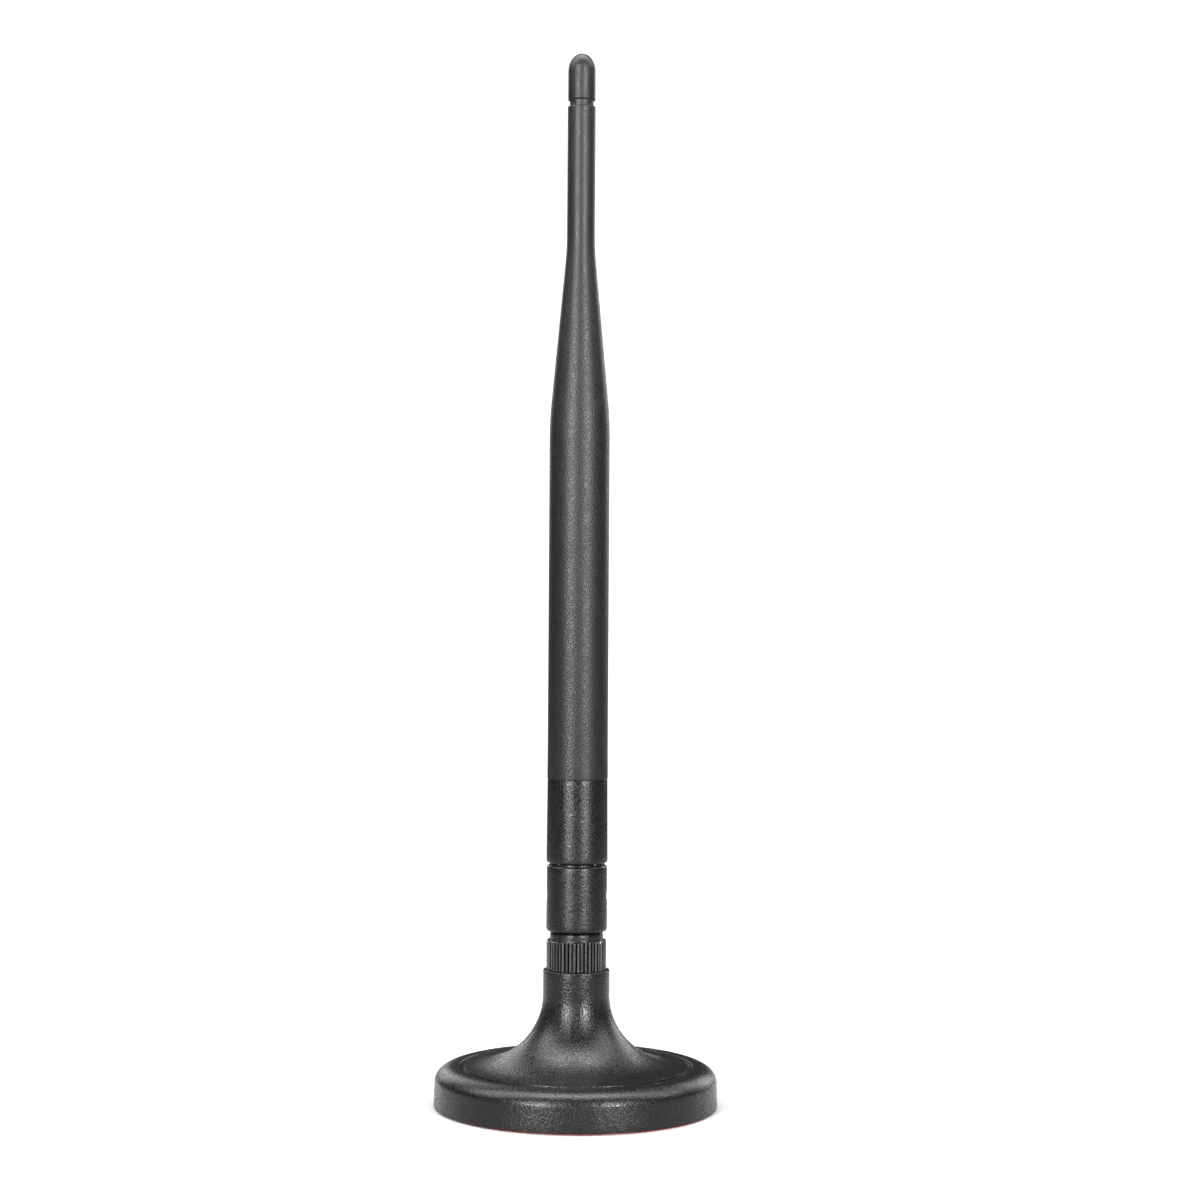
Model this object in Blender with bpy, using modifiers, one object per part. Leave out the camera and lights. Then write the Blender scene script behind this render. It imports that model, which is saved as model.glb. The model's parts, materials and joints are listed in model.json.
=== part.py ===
"""An omnidirectional whip antenna that screws onto a round magnetic base, tilts at a hinge and swivels.

The Z axis is the axis of the base and of the upright whip, Z = 0 is the underside of the base, and the
front of the antenna faces -Y. Every size and height below is in millimetres, and MM turns it into metres.
Upright, from the bottom: base, coupling nut, knuckle, collar, sheath and tip.
"""

import math

import bmesh
import bpy
from mathutils import Matrix, Vector

MM = 0.001

# Driving sizes: base
BASE_RADIUS = 30.0
BASE_FOOT_RADIUS = 30.15
BASE_WALL = 2.0
BASE_RIM_TOP = 8.6
SHOULDER_WIDTH = 4.2
SHOULDER_HEIGHT = 3.2
GROOVE_OUTER = 24.9
GROOVE_INNER = 23.7
GROOVE_DEPTH = 0.45
STEM_RADIUS = 7.08
STEM_TOP = 29.05
TRUMPET_TOP = 23.75
LINER_THICKNESS = 0.25
PAD_THICKNESS = 0.7
PLATE_THICKNESS = 1.0

# Driving sizes: whip
NUT_RADIUS = 6.5
NUT_KNURLS = 48
NUT_KNURL_TOP = 35.3
NUT_SHOULDER_RADIUS = 5.65
NUT_TOP = 37.05
KNUCKLE_BOTTOM = 37.25
KNUCKLE_TOP = 51.3
KNUCKLE_FOOT_RADIUS = 6.5
KNUCKLE_HEAD_RADIUS = 6.38
PIVOT_BELOW_TOP = 6.6
COLLAR_BOTTOM = 51.75
COLLAR_TOP = 69.6
COLLAR_FOOT_RADIUS = 6.5
COLLAR_HEAD_RADIUS = 6.37
SHEATH_RADIUS = 6.39
SHEATH_FLARE_RADIUS = 6.44
MAST_RADIUS = 2.98
SHEATH_TOP = 212.6
TIP_RADIUS = 2.92
TIP_EDGE = 213.8
TIP_TOP = 223.8
TIP_DOME = 3.7

# Driving sizes: coaxial parts
JACK_THREAD_RADIUS = 3.1
JACK_TOP = 33.2
JACK_HEX = 8.0
COAX_RADIUS = 0.9
PIN_RADIUS = 1.2

# Fits: between pieces that rest on or in each other, between pieces that turn or slide, and loose ones
FIT = 0.05
RUNNING = 0.1
LOOSE = 0.25

# How finely round shapes are cut
BASE_STEPS = 48
BODY_STEPS = 36
SMALL_STEPS = 20
TINY_STEPS = 12

# Heights and radii that follow from the driving sizes
SHELL_BOTTOM = LINER_THICKNESS + FIT
PLATE_BOTTOM = SHELL_BOTTOM + PAD_THICKNESS + FIT
PLATE_TOP = PLATE_BOTTOM + PLATE_THICKNESS
PLATE_RADIUS = BASE_RADIUS - 1.6
ROOF = BASE_RIM_TOP - BASE_WALL
PIVOT_Z = KNUCKLE_TOP - PIVOT_BELOW_TOP
NUT_BOTTOM = STEM_TOP + FIT
CROWN_TOP = COLLAR_BOTTOM - 0.15
SHEATH_BOTTOM = COLLAR_TOP + FIT

PARTS = "omnidirectional_antenna"
CUTTERS = "cutters"


# ---------------------------------------------------------------- scene, materials and outlines


def clear_scene():
    for thing in list(bpy.data.objects):
        bpy.data.objects.remove(thing, do_unlink=True)


def make_collection(name):
    collection = bpy.data.collections.new(name)
    bpy.context.scene.collection.children.link(collection)
    return collection


def material(name, colour, roughness, metallic=0.0):
    made = bpy.data.materials.new(name)
    made.use_nodes = True
    shader = made.node_tree.nodes["Principled BSDF"]
    shader.inputs["Base Color"].default_value = (*colour, 1.0)
    shader.inputs["Roughness"].default_value = roughness
    shader.inputs["Metallic"].default_value = metallic
    made.diffuse_color = (*colour, 1.0)
    return made


def ellipse_quarter(centre, half_width, half_height, start, end, pieces):
    """Points on an ellipse from one angle to another, in degrees, both ends included."""
    points = []
    for step in range(pieces + 1):
        angle = math.radians(start + (end - start) * step / pieces)
        along = centre[0] + half_width * math.cos(angle)
        up = centre[1] + half_height * math.sin(angle)
        points.append((along, up, 0.0))
    return points


def rounded(corners, pieces=4):
    """A closed outline through corners of (x, y, fillet radius), with an arc where there is a fillet."""
    outline = []
    for index, (x, y, radius) in enumerate(corners):
        corner = Vector((x, y))
        if radius == 0:
            outline.append((x, y))
            continue
        back = (Vector(corners[index - 1][:2]) - corner).normalized()
        ahead = (Vector(corners[(index + 1) % len(corners)][:2]) - corner).normalized()
        half_angle = back.angle(ahead) / 2
        centre = corner + (back + ahead).normalized() * radius / math.sin(half_angle)
        first = corner + back * radius / math.tan(half_angle) - centre
        last = corner + ahead * radius / math.tan(half_angle) - centre
        sweep = math.atan2(first.x * last.y - first.y * last.x, first.dot(last))
        for step in range(pieces + 1):
            point = centre + Matrix.Rotation(sweep * step / pieces, 2) @ first
            outline.append((point.x, point.y))
    return outline


def plain(points):
    """Corners with no fillets."""
    return [(x, y, 0.0) for x, y in points]


# ---------------------------------------------------------------- solids


class Maker:
    """Puts solids into one collection, and cutters into the other."""

    def __init__(self):
        self.parts = make_collection(PARTS)
        self.cutters = make_collection(CUTTERS)
        self.cutters.hide_render = True

    def place(self, name, mesh, look):
        """An object for the mesh: a part if it has a look, and otherwise a hidden cutter."""
        thing = bpy.data.objects.new(name, mesh)
        if look is None:
            self.cutters.objects.link(thing)
            thing.hide_render = True
            thing.display_type = "WIRE"
        else:
            self.parts.objects.link(thing)
            mesh.materials.append(look)
        return thing

    def turned(self, name, outline, look=None, steps=SMALL_STEPS):
        """A closed outline of (radius, height), outer side running down, turned about Z."""
        mesh = bpy.data.meshes.new(name)
        count = len(outline)
        edges = [(i, (i + 1) % count) for i in range(count)]
        mesh.from_pydata([(r * MM, 0, z * MM) for r, z in outline], edges, [])
        thing = self.place(name, mesh, look)
        screw = thing.modifiers.new("turn", "SCREW")
        screw.steps = steps
        screw.render_steps = steps
        screw.use_merge_vertices = True
        screw.merge_threshold = 0.000002
        screw.use_smooth_shade = True
        return thing

    def rod(self, name, outline, look=None, steps=SMALL_STEPS):
        """A solid turned piece: its outline starts and ends on the axis, outer side running down."""
        thing = self.turned(name, outline, look, steps)
        mesh = thing.data
        mesh.clear_geometry()
        edges = [(i, i + 1) for i in range(len(outline) - 1)]
        mesh.from_pydata([(r * MM, 0, z * MM) for r, z in outline], edges, [])
        return thing

    def tube(self, name, outer, inner, bottom, top, look=None, steps=SMALL_STEPS):
        corners = [(outer, top), (outer, bottom), (inner, bottom), (inner, top)]
        return self.turned(name, corners, look, steps)

    def prism(self, name, sides, across, bottom, top, look=None):
        """A prism about Z that is as wide as across between opposite flat sides."""
        mesh = bpy.data.meshes.new(name)
        shape = bmesh.new()
        bmesh.ops.create_cone(
            shape,
            cap_ends=True,
            segments=sides,
            radius1=across / 2 / math.cos(math.pi / sides) * MM,
            radius2=across / 2 / math.cos(math.pi / sides) * MM,
            depth=(top - bottom) * MM,
            matrix=Matrix.Translation((0, 0, (top + bottom) / 2 * MM)),
        )
        shape.to_mesh(mesh)
        shape.free()
        return self.place(name, mesh, look)

    def box(self, name, low, high, look=None):
        mesh = bpy.data.meshes.new(name)
        shape = bmesh.new()
        bmesh.ops.create_cube(shape, size=1.0)
        size = (Vector(high) - Vector(low)) * MM
        middle = (Vector(high) + Vector(low)) / 2 * MM
        bmesh.ops.scale(shape, vec=size, verts=shape.verts)
        bmesh.ops.translate(shape, vec=middle, verts=shape.verts)
        shape.to_mesh(mesh)
        shape.free()
        return self.place(name, mesh, look)

    def cylinder_along(self, name, axis, radius, start, end, look=None, steps=SMALL_STEPS):
        """A plain cylinder between two points, along X or Y."""
        mesh = bpy.data.meshes.new(name)
        turn = Matrix.Rotation(math.pi / 2, 4, "Y" if axis == "X" else "X")
        middle = (Vector(start) + Vector(end)) / 2 * MM
        shape = bmesh.new()
        bmesh.ops.create_cone(
            shape,
            cap_ends=True,
            segments=steps,
            radius1=radius * MM,
            radius2=radius * MM,
            depth=(Vector(end) - Vector(start)).length * MM,
            matrix=Matrix.Translation(middle) @ turn,
        )
        shape.to_mesh(mesh)
        shape.free()
        return self.place(name, mesh, look)

    def slab(self, name, outline, low_x, high_x, look=None):
        """An outline of (y, z) given a thickness along X."""
        curve = bpy.data.curves.new(name, "CURVE")
        curve.dimensions = "2D"
        curve.fill_mode = "BOTH"
        curve.extrude = (high_x - low_x) / 2 * MM
        spline = curve.splines.new("POLY")
        spline.points.add(len(outline) - 1)
        for point, (y, z) in zip(spline.points, outline):
            point.co = (y * MM, z * MM, 0, 1)
        spline.use_cyclic_u = True
        drawn = bpy.data.objects.new(name, curve)
        self.parts.objects.link(drawn)
        # The curve's own X, Y and Z become the antenna's Y, Z and X.
        turn = Matrix(((0, 0, 1), (1, 0, 0), (0, 1, 0))).to_4x4()
        place = Matrix.Translation(((low_x + high_x) / 2 * MM, 0, 0)) @ turn
        return self.solid_from(drawn, place, name, look)

    def wire(self, name, points, radius, look):
        """A round wire through the points."""
        curve = bpy.data.curves.new(name, "CURVE")
        curve.dimensions = "3D"
        curve.bevel_depth = radius * MM
        curve.bevel_resolution = 2
        curve.use_fill_caps = True
        spline = curve.splines.new("POLY")
        spline.points.add(len(points) - 1)
        for point, place in zip(spline.points, points):
            point.co = (*(Vector(place) * MM), 1)
        drawn = bpy.data.objects.new(name, curve)
        self.parts.objects.link(drawn)
        return self.solid_from(drawn, Matrix.Identity(4), name, look)

    def solid_from(self, drawn, place, name, look):
        """The mesh of a curve, with its caps welded on, in place of the curve."""
        graph = bpy.context.evaluated_depsgraph_get()
        mesh = bpy.data.meshes.new_from_object(drawn.evaluated_get(graph))
        curve = drawn.data
        bpy.data.objects.remove(drawn)
        bpy.data.curves.remove(curve)
        shape = bmesh.new()
        shape.from_mesh(mesh)
        bmesh.ops.remove_doubles(shape, verts=shape.verts, dist=0.000001)
        bmesh.ops.recalc_face_normals(shape, faces=shape.faces)
        shape.to_mesh(mesh)
        shape.free()
        mesh.name = name
        mesh.materials.clear()
        thing = self.place(name, mesh, look)
        thing.matrix_world = place
        return thing


def combine(part, other, operation):
    boolean = part.modifiers.new(other.name, "BOOLEAN")
    boolean.solver = "EXACT"
    boolean.operation = operation
    boolean.object = other


def cut(part, *cutters):
    for cutter in cutters:
        combine(part, cutter, "DIFFERENCE")


def join(part, *others):
    for other in others:
        combine(part, other, "UNION")


def body(name, height, parts):
    """An empty on the body's joint axis, which carries the body's parts."""
    empty = bpy.data.objects.new(name, None)
    empty.empty_display_size = 4 * MM
    empty.location = (0, 0, height * MM)
    bpy.data.collections[PARTS].objects.link(empty)
    for part in parts:
        part.parent = empty
        part.matrix_parent_inverse = Matrix.Translation((0, 0, -height * MM))
    return empty


# ---------------------------------------------------------------- base


JACK_POCKET = JACK_HEX + 0.3
JACK_FLANGE_TOP = STEM_TOP - 0.15
JACK_FLANGE_BOTTOM = JACK_FLANGE_TOP - 1.95
STEM_WEB = 1.5
STEM_BORE = STEM_RADIUS - 1.9
SCREW_CIRCLE = 23.6
SCREW_RADIUS = 0.8
SCREW_HEAD_RADIUS = 1.9
SCREW_LENGTH = 4.4
BOSS_RADIUS = 2.4
MAGNET_OUTER = 19.5
MAGNET_INNER = 7.0
MAGNET_TOP = 5.5
YOKE_THICKNESS = 0.85
OUTLET_Z = 4.3
OUTLET_NECK = 1.8
OUTLET_FLANGE = 2.4
OUTLET_BORE = 1.5


def screw_places():
    """Where the three screws of the closing plate are: (x, y) and the angle in radians."""
    places = []
    for index in range(3):
        angle = math.radians(30 + 120 * index)
        places.append((SCREW_CIRCLE * math.cos(angle), SCREW_CIRCLE * math.sin(angle), angle))
    return places


def base_shell(make, look):
    trumpet_width = GROOVE_INNER - STEM_RADIUS
    trumpet_height = TRUMPET_TOP - BASE_RIM_TOP + 0.15
    trumpet_centre = (GROOVE_INNER, TRUMPET_TOP)
    floor = BASE_RIM_TOP - GROOVE_DEPTH
    shoulder_centre = (BASE_RADIUS - SHOULDER_WIDTH, BASE_RIM_TOP - SHOULDER_HEIGHT)
    inside_width = GROOVE_INNER - STEM_BORE
    inside_height = TRUMPET_TOP - ROOF
    web_bottom = JACK_FLANGE_BOTTOM - FIT - STEM_WEB
    jack_bore = JACK_THREAD_RADIUS + RUNNING + FIT
    corners = [(jack_bore, STEM_TOP, 0.0), (STEM_RADIUS, STEM_TOP, 0.3)]
    corners += ellipse_quarter(trumpet_centre, trumpet_width, trumpet_height, 180, 270, 11)
    corners += plain([(GROOVE_INNER + 0.1, floor), (GROOVE_OUTER - 0.15, floor)])
    corners += plain([(GROOVE_OUTER, BASE_RIM_TOP)])
    corners += ellipse_quarter(shoulder_centre, SHOULDER_WIDTH, SHOULDER_HEIGHT, 90, 0, 6)
    corners += plain([(BASE_FOOT_RADIUS, SHELL_BOTTOM)])
    corners += plain([(PLATE_RADIUS + 2 * RUNNING, SHELL_BOTTOM)])
    corners += plain([(PLATE_RADIUS + 2 * RUNNING, PLATE_TOP + FIT), (BASE_RADIUS - 2.4, PLATE_TOP + FIT)])
    corners += plain([(BASE_RADIUS - 2.1, PLATE_TOP + 0.5), (BASE_RADIUS - 2.1, ROOF)])
    corners += ellipse_quarter(trumpet_centre, inside_width, inside_height, 270, 180, 7)
    corners += plain([(STEM_BORE, web_bottom), (jack_bore, web_bottom)])
    shell = make.turned("base_shell", rounded(corners), look, BASE_STEPS)

    pocket = make.prism("jack_pocket", 6, JACK_POCKET, JACK_FLANGE_BOTTOM - FIT, STEM_TOP + 5)
    cut(shell, pocket)
    boss_top = BASE_RIM_TOP - BASE_WALL + 0.6
    for index, (x, y, _) in enumerate(screw_places(), start=1):
        boss = make.prism(f"boss_{index}", SMALL_STEPS, 2 * BOSS_RADIUS, PLATE_TOP + 0.1, boss_top)
        hole_radius = SCREW_RADIUS + RUNNING
        hole_top = PLATE_TOP + SCREW_LENGTH
        hole = make.prism(f"screw_hole_{index}", TINY_STEPS, 2 * hole_radius, PLATE_TOP - 1, hole_top)
        for helper in (boss, hole):
            helper.location = (x * MM, y * MM, 0)
        join(shell, boss)
        cut(shell, hole)

    wall_face = (0, BASE_RADIUS - 0.85, OUTLET_Z)
    outside = (0, BASE_RADIUS + 3, OUTLET_Z)
    inside = (0, BASE_RADIUS - 4, OUTLET_Z)
    recess = make.cylinder_along("outlet_recess", "Y", OUTLET_FLANGE + RUNNING, wall_face, outside)
    neck = make.cylinder_along("outlet_hole", "Y", OUTLET_NECK + FIT, inside, outside)
    cut(shell, recess, neck)
    return shell


def base_plate(make, look):
    plate = make.prism("base_plate", BASE_STEPS, 2 * PLATE_RADIUS, PLATE_BOTTOM, PLATE_TOP, look)
    for index, (x, y, _) in enumerate(screw_places(), start=1):
        sink = [
            (0, PLATE_TOP + 1),
            (SCREW_RADIUS + RUNNING, PLATE_TOP + 1),
            (SCREW_RADIUS + RUNNING, PLATE_TOP - 0.1),
            (SCREW_HEAD_RADIUS + RUNNING, PLATE_BOTTOM),
            (SCREW_HEAD_RADIUS + RUNNING, PLATE_BOTTOM - 1),
            (0, PLATE_BOTTOM - 1),
        ]
        countersink = make.rod(f"countersink_{index}", sink, None, TINY_STEPS)
        countersink.location = (x * MM, y * MM, 0)
        cut(plate, countersink)
    return plate


def base_screws(make, look):
    """Three countersunk screws, which share one mesh."""
    recess_depth = 0.5
    outline = [
        (0, PLATE_TOP + SCREW_LENGTH - 0.4),
        (SCREW_RADIUS * 0.6, PLATE_TOP + SCREW_LENGTH - 0.4),
        (SCREW_RADIUS, PLATE_TOP + SCREW_LENGTH - 1.0),
        (SCREW_RADIUS, PLATE_TOP - 0.1),
        (SCREW_HEAD_RADIUS - RUNNING, PLATE_BOTTOM + 0.1),
        (SCREW_HEAD_RADIUS - RUNNING, PLATE_BOTTOM),
        (SCREW_RADIUS, PLATE_BOTTOM),
        (SCREW_RADIUS * 0.5, PLATE_BOTTOM + recess_depth),
        (0, PLATE_BOTTOM + recess_depth),
    ]
    screws = []
    for index, (x, y, angle) in enumerate(screw_places(), start=1):
        name = f"base_screw_{index}"
        if screws:
            screw = make.place(name, screws[0].data, look)
            screw.data.materials.pop()
            for source in screws[0].modifiers:
                turn = screw.modifiers.new(source.name, source.type)
                turn.steps = source.steps
                turn.render_steps = source.render_steps
                turn.use_merge_vertices = True
                turn.merge_threshold = source.merge_threshold
                turn.use_smooth_shade = True
        else:
            screw = make.rod(name, outline, look, TINY_STEPS)
        screw.location = (x * MM, y * MM, 0)
        screw.rotation_euler = (0, 0, angle)
        screws.append(screw)
    return screws


def magnet(make, ferrite, steel):
    ring_bottom = PLATE_TOP + FIT
    outline = rounded(
        [
            (MAGNET_OUTER, MAGNET_TOP, 0.4),
            (MAGNET_OUTER, ring_bottom, 0.4),
            (MAGNET_INNER, ring_bottom, 0.0),
            (MAGNET_INNER, MAGNET_TOP, 0.0),
        ],
        pieces=2,
    )
    ring = make.turned("magnet_ring", outline, ferrite, BODY_STEPS)
    outer = MAGNET_OUTER - 1
    inner = MAGNET_INNER + 1
    bottom = MAGNET_TOP + FIT
    yoke = make.tube("magnet_yoke", outer, inner, bottom, bottom + YOKE_THICKNESS, steel, BODY_STEPS)
    return [ring, yoke]


def cable_grommet(make, look):
    """Turned about the outlet's own axis, then laid along Y with its flange to the outside."""
    outside = BASE_RADIUS - 0.2
    flange = 0.6
    wall_end = BASE_RADIUS - 2.1
    outline = rounded(
        [
            (OUTLET_FLANGE, outside, 0.25),
            (OUTLET_FLANGE, outside - flange, 0.0),
            (OUTLET_NECK, outside - flange, 0.0),
            (OUTLET_NECK, wall_end - LOOSE, 0.0),
            (OUTLET_NECK + 0.3, wall_end - LOOSE, 0.0),
            (OUTLET_NECK, wall_end - 1.2, 0.0),
            (OUTLET_BORE, wall_end - 1.2, 0.0),
            (OUTLET_BORE, outside, 0.0),
        ],
        pieces=3,
    )
    grommet = make.turned("cable_grommet", outline, look)
    grommet.rotation_euler = (-math.pi / 2, 0, 0)
    grommet.location = (0, 0, OUTLET_Z * MM)
    return grommet


def underside(make, foam, film):
    pad = make.prism("base_pad", BASE_STEPS, 2 * PLATE_RADIUS, SHELL_BOTTOM, PLATE_BOTTOM - FIT, foam)
    liner = make.prism("release_liner", BASE_STEPS, 2 * BASE_RADIUS, 0, LINER_THICKNESS, film)
    return [pad, liner]


# ---------------------------------------------------------------- jack in the stem


JACK_BOTTOM = 18.5
JACK_THREAD_BOTTOM = 20.5
JACK_MOUTH = JACK_TOP - 2.0
JACK_MOUTH_RADIUS = 2.35
JACK_INSULATOR_RADIUS = 2.0
JACK_PIN_RADIUS = 0.45
WASHER_TOP = JACK_FLANGE_BOTTOM - FIT - STEM_WEB - FIT
WASHER_THICKNESS = 0.45
WASHER_RADIUS = 4.5
LOCK_NUT_HEIGHT = 2.2


def jack(make, brass, white, gold, steel):
    bore = JACK_INSULATOR_RADIUS + RUNNING
    outline = rounded(
        [
            (JACK_THREAD_RADIUS, JACK_TOP, 0.25),
            (JACK_THREAD_RADIUS, JACK_THREAD_BOTTOM, 0.25),
            (2.2, JACK_THREAD_BOTTOM, 0.0),
            (2.2, JACK_BOTTOM, 0.0),
            (1.1, JACK_BOTTOM, 0.0),
            (1.1, JACK_THREAD_BOTTOM + 0.4, 0.0),
            (bore, JACK_THREAD_BOTTOM + 0.4, 0.0),
            (bore, JACK_MOUTH, 0.0),
            (JACK_MOUTH_RADIUS, JACK_MOUTH, 0.0),
            (JACK_MOUTH_RADIUS, JACK_TOP, 0.0),
        ],
        pieces=2,
    )
    shell = make.turned("jack_body", outline, brass)
    flange = make.prism("jack_flange", 6, JACK_HEX, JACK_FLANGE_BOTTOM, JACK_FLANGE_TOP)
    core_width = 2 * (JACK_THREAD_RADIUS - 0.4)
    core = make.prism("jack_core", SMALL_STEPS, core_width, JACK_FLANGE_BOTTOM - 1, JACK_FLANGE_TOP + 1)
    cut(flange, core)
    join(shell, flange)

    insulator = make.tube(
        "jack_insulator",
        JACK_INSULATOR_RADIUS,
        0.75,
        JACK_THREAD_BOTTOM + 0.5,
        JACK_MOUTH - RUNNING,
        white,
    )
    pin = make.rod(
        "jack_contact",
        [
            (0, JACK_TOP - 0.3),
            (JACK_PIN_RADIUS * 0.5, JACK_TOP - 0.3),
            (JACK_PIN_RADIUS, JACK_TOP - 0.7),
            (JACK_PIN_RADIUS, JACK_MOUTH - 0.3),
            (0.65, JACK_MOUTH - 0.3),
            (0.65, JACK_BOTTOM + 0.7),
            (0, JACK_BOTTOM + 0.7),
        ],
        gold,
        TINY_STEPS,
    )
    washer_bottom = WASHER_TOP - WASHER_THICKNESS
    thread_bore = JACK_THREAD_RADIUS + RUNNING
    washer = make.tube("jack_washer", WASHER_RADIUS, thread_bore, washer_bottom, WASHER_TOP, steel)
    nut_top = washer_bottom - FIT
    nut = make.prism("jack_lock_nut", 6, JACK_HEX, nut_top - LOCK_NUT_HEIGHT, nut_top, brass)
    nut_bore = make.prism("lock_nut_bore", SMALL_STEPS, 2 * thread_bore, nut_top - 4, nut_top + 1)
    cut(nut, nut_bore)
    return [shell, insulator, pin, washer, nut]


# ---------------------------------------------------------------- coupling nut


INSERT_RADIUS = 5.0
INSERT_TOP = 34.9
INSERT_BORE = JACK_THREAD_RADIUS + RUNNING + 0.2
INSERT_WEB = 0.5
SHANK_RADIUS = 2.9
KNURL_DEPTH = 0.28


def knurl(thing, low, high, steps):
    """Pushes every other row of the points on the outside inwards, between two heights."""
    graph = bpy.context.evaluated_depsgraph_get()
    mesh = bpy.data.meshes.new_from_object(thing.evaluated_get(graph))
    thing.modifiers.clear()
    thing.data = mesh
    for vertex in mesh.vertices:
        radius = math.hypot(vertex.co.x, vertex.co.y) / MM
        if radius < NUT_RADIUS - 0.15 or not low <= vertex.co.z / MM <= high:
            continue
        row = round(math.atan2(vertex.co.y, vertex.co.x) / (2 * math.pi) * steps)
        if row % 2:
            vertex.co.xy *= (radius - KNURL_DEPTH) / radius


def coupling_nut(make, plastic, brass):
    bore = INSERT_RADIUS + RUNNING
    shoulder_bore = SHANK_RADIUS + LOOSE
    outline = rounded(
        [
            (NUT_SHOULDER_RADIUS, NUT_TOP, 0.3),
            (NUT_SHOULDER_RADIUS, NUT_KNURL_TOP, 0.0),
            (NUT_RADIUS - 0.35, NUT_KNURL_TOP, 0.0),
            (NUT_RADIUS, NUT_KNURL_TOP - 0.3, 0.0),
            (NUT_RADIUS, NUT_BOTTOM + 0.8, 0.0),
            (NUT_RADIUS - 0.85, NUT_BOTTOM, 0.0),
            (bore, NUT_BOTTOM, 0.0),
            (bore, INSERT_TOP + FIT, 0.0),
            (shoulder_bore, INSERT_TOP + FIT, 0.0),
            (shoulder_bore, NUT_TOP, 0.0),
        ],
        pieces=2,
    )
    steps = 2 * NUT_KNURLS
    shell = make.turned("knurled_shell", outline, plastic, steps)
    knurl(shell, NUT_BOTTOM + 0.5, NUT_KNURL_TOP - 0.1, steps)

    lead_in = 0.4
    web = INSERT_TOP - INSERT_WEB
    insert = make.turned(
        "nut_insert",
        [
            (INSERT_RADIUS, INSERT_TOP),
            (INSERT_RADIUS, NUT_BOTTOM + 0.25),
            (INSERT_BORE + lead_in, NUT_BOTTOM + 0.25),
            (INSERT_BORE, NUT_BOTTOM + 0.25 + lead_in),
            (INSERT_BORE, web),
            (SHANK_RADIUS + RUNNING, web),
            (SHANK_RADIUS + RUNNING, INSERT_TOP),
        ],
        brass,
    )
    return [shell, insert]


# ---------------------------------------------------------------- plug of the whip


FERRULE_RADIUS = 2.2
FERRULE_BOTTOM = JACK_MOUTH + 0.4
PLUG_FACE = 33.8
RING_TOP = INSERT_TOP - INSERT_WEB - RUNNING
RING_BOTTOM = RING_TOP - 0.3
SWIVEL_FLANGE_RADIUS = 4.7
SWIVEL_FLANGE_BOTTOM = NUT_TOP + RUNNING
SWIVEL_FLANGE_TOP = 37.9
SWIVEL_SHANK = 3.0
KNUCKLE_RECESS_TOP = 38.3
KNUCKLE_FLOOR = 39.7
CLIP_BOTTOM = KNUCKLE_FLOOR + RUNNING
CLIP_THICKNESS = 0.3
PLUG_TOP = 40.35
PLUG_BORE = 1.7
PLUG_STEP = 36.0
COAX_BORE = COAX_RADIUS + 0.2
SOCKET_RADIUS = 0.95
GASKET_RADIUS = 3.1
CLIP_RADIUS = 3.8
RING_OPENING = 1.2
CLIP_OPENING = 1.6


def split_ring(make, name, radii, heights, opening, look):
    """A flat ring, of an outer and an inner radius and a bottom and a top height, with a gap at the back."""
    outer, inner = radii
    bottom, top = heights
    ring = make.tube(name, outer, inner, bottom, top, look)
    gap = make.box(f"{name}_gap", (-opening / 2, 0, bottom - 1), (opening / 2, outer + 1, top + 1))
    cut(ring, gap)
    return ring


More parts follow.
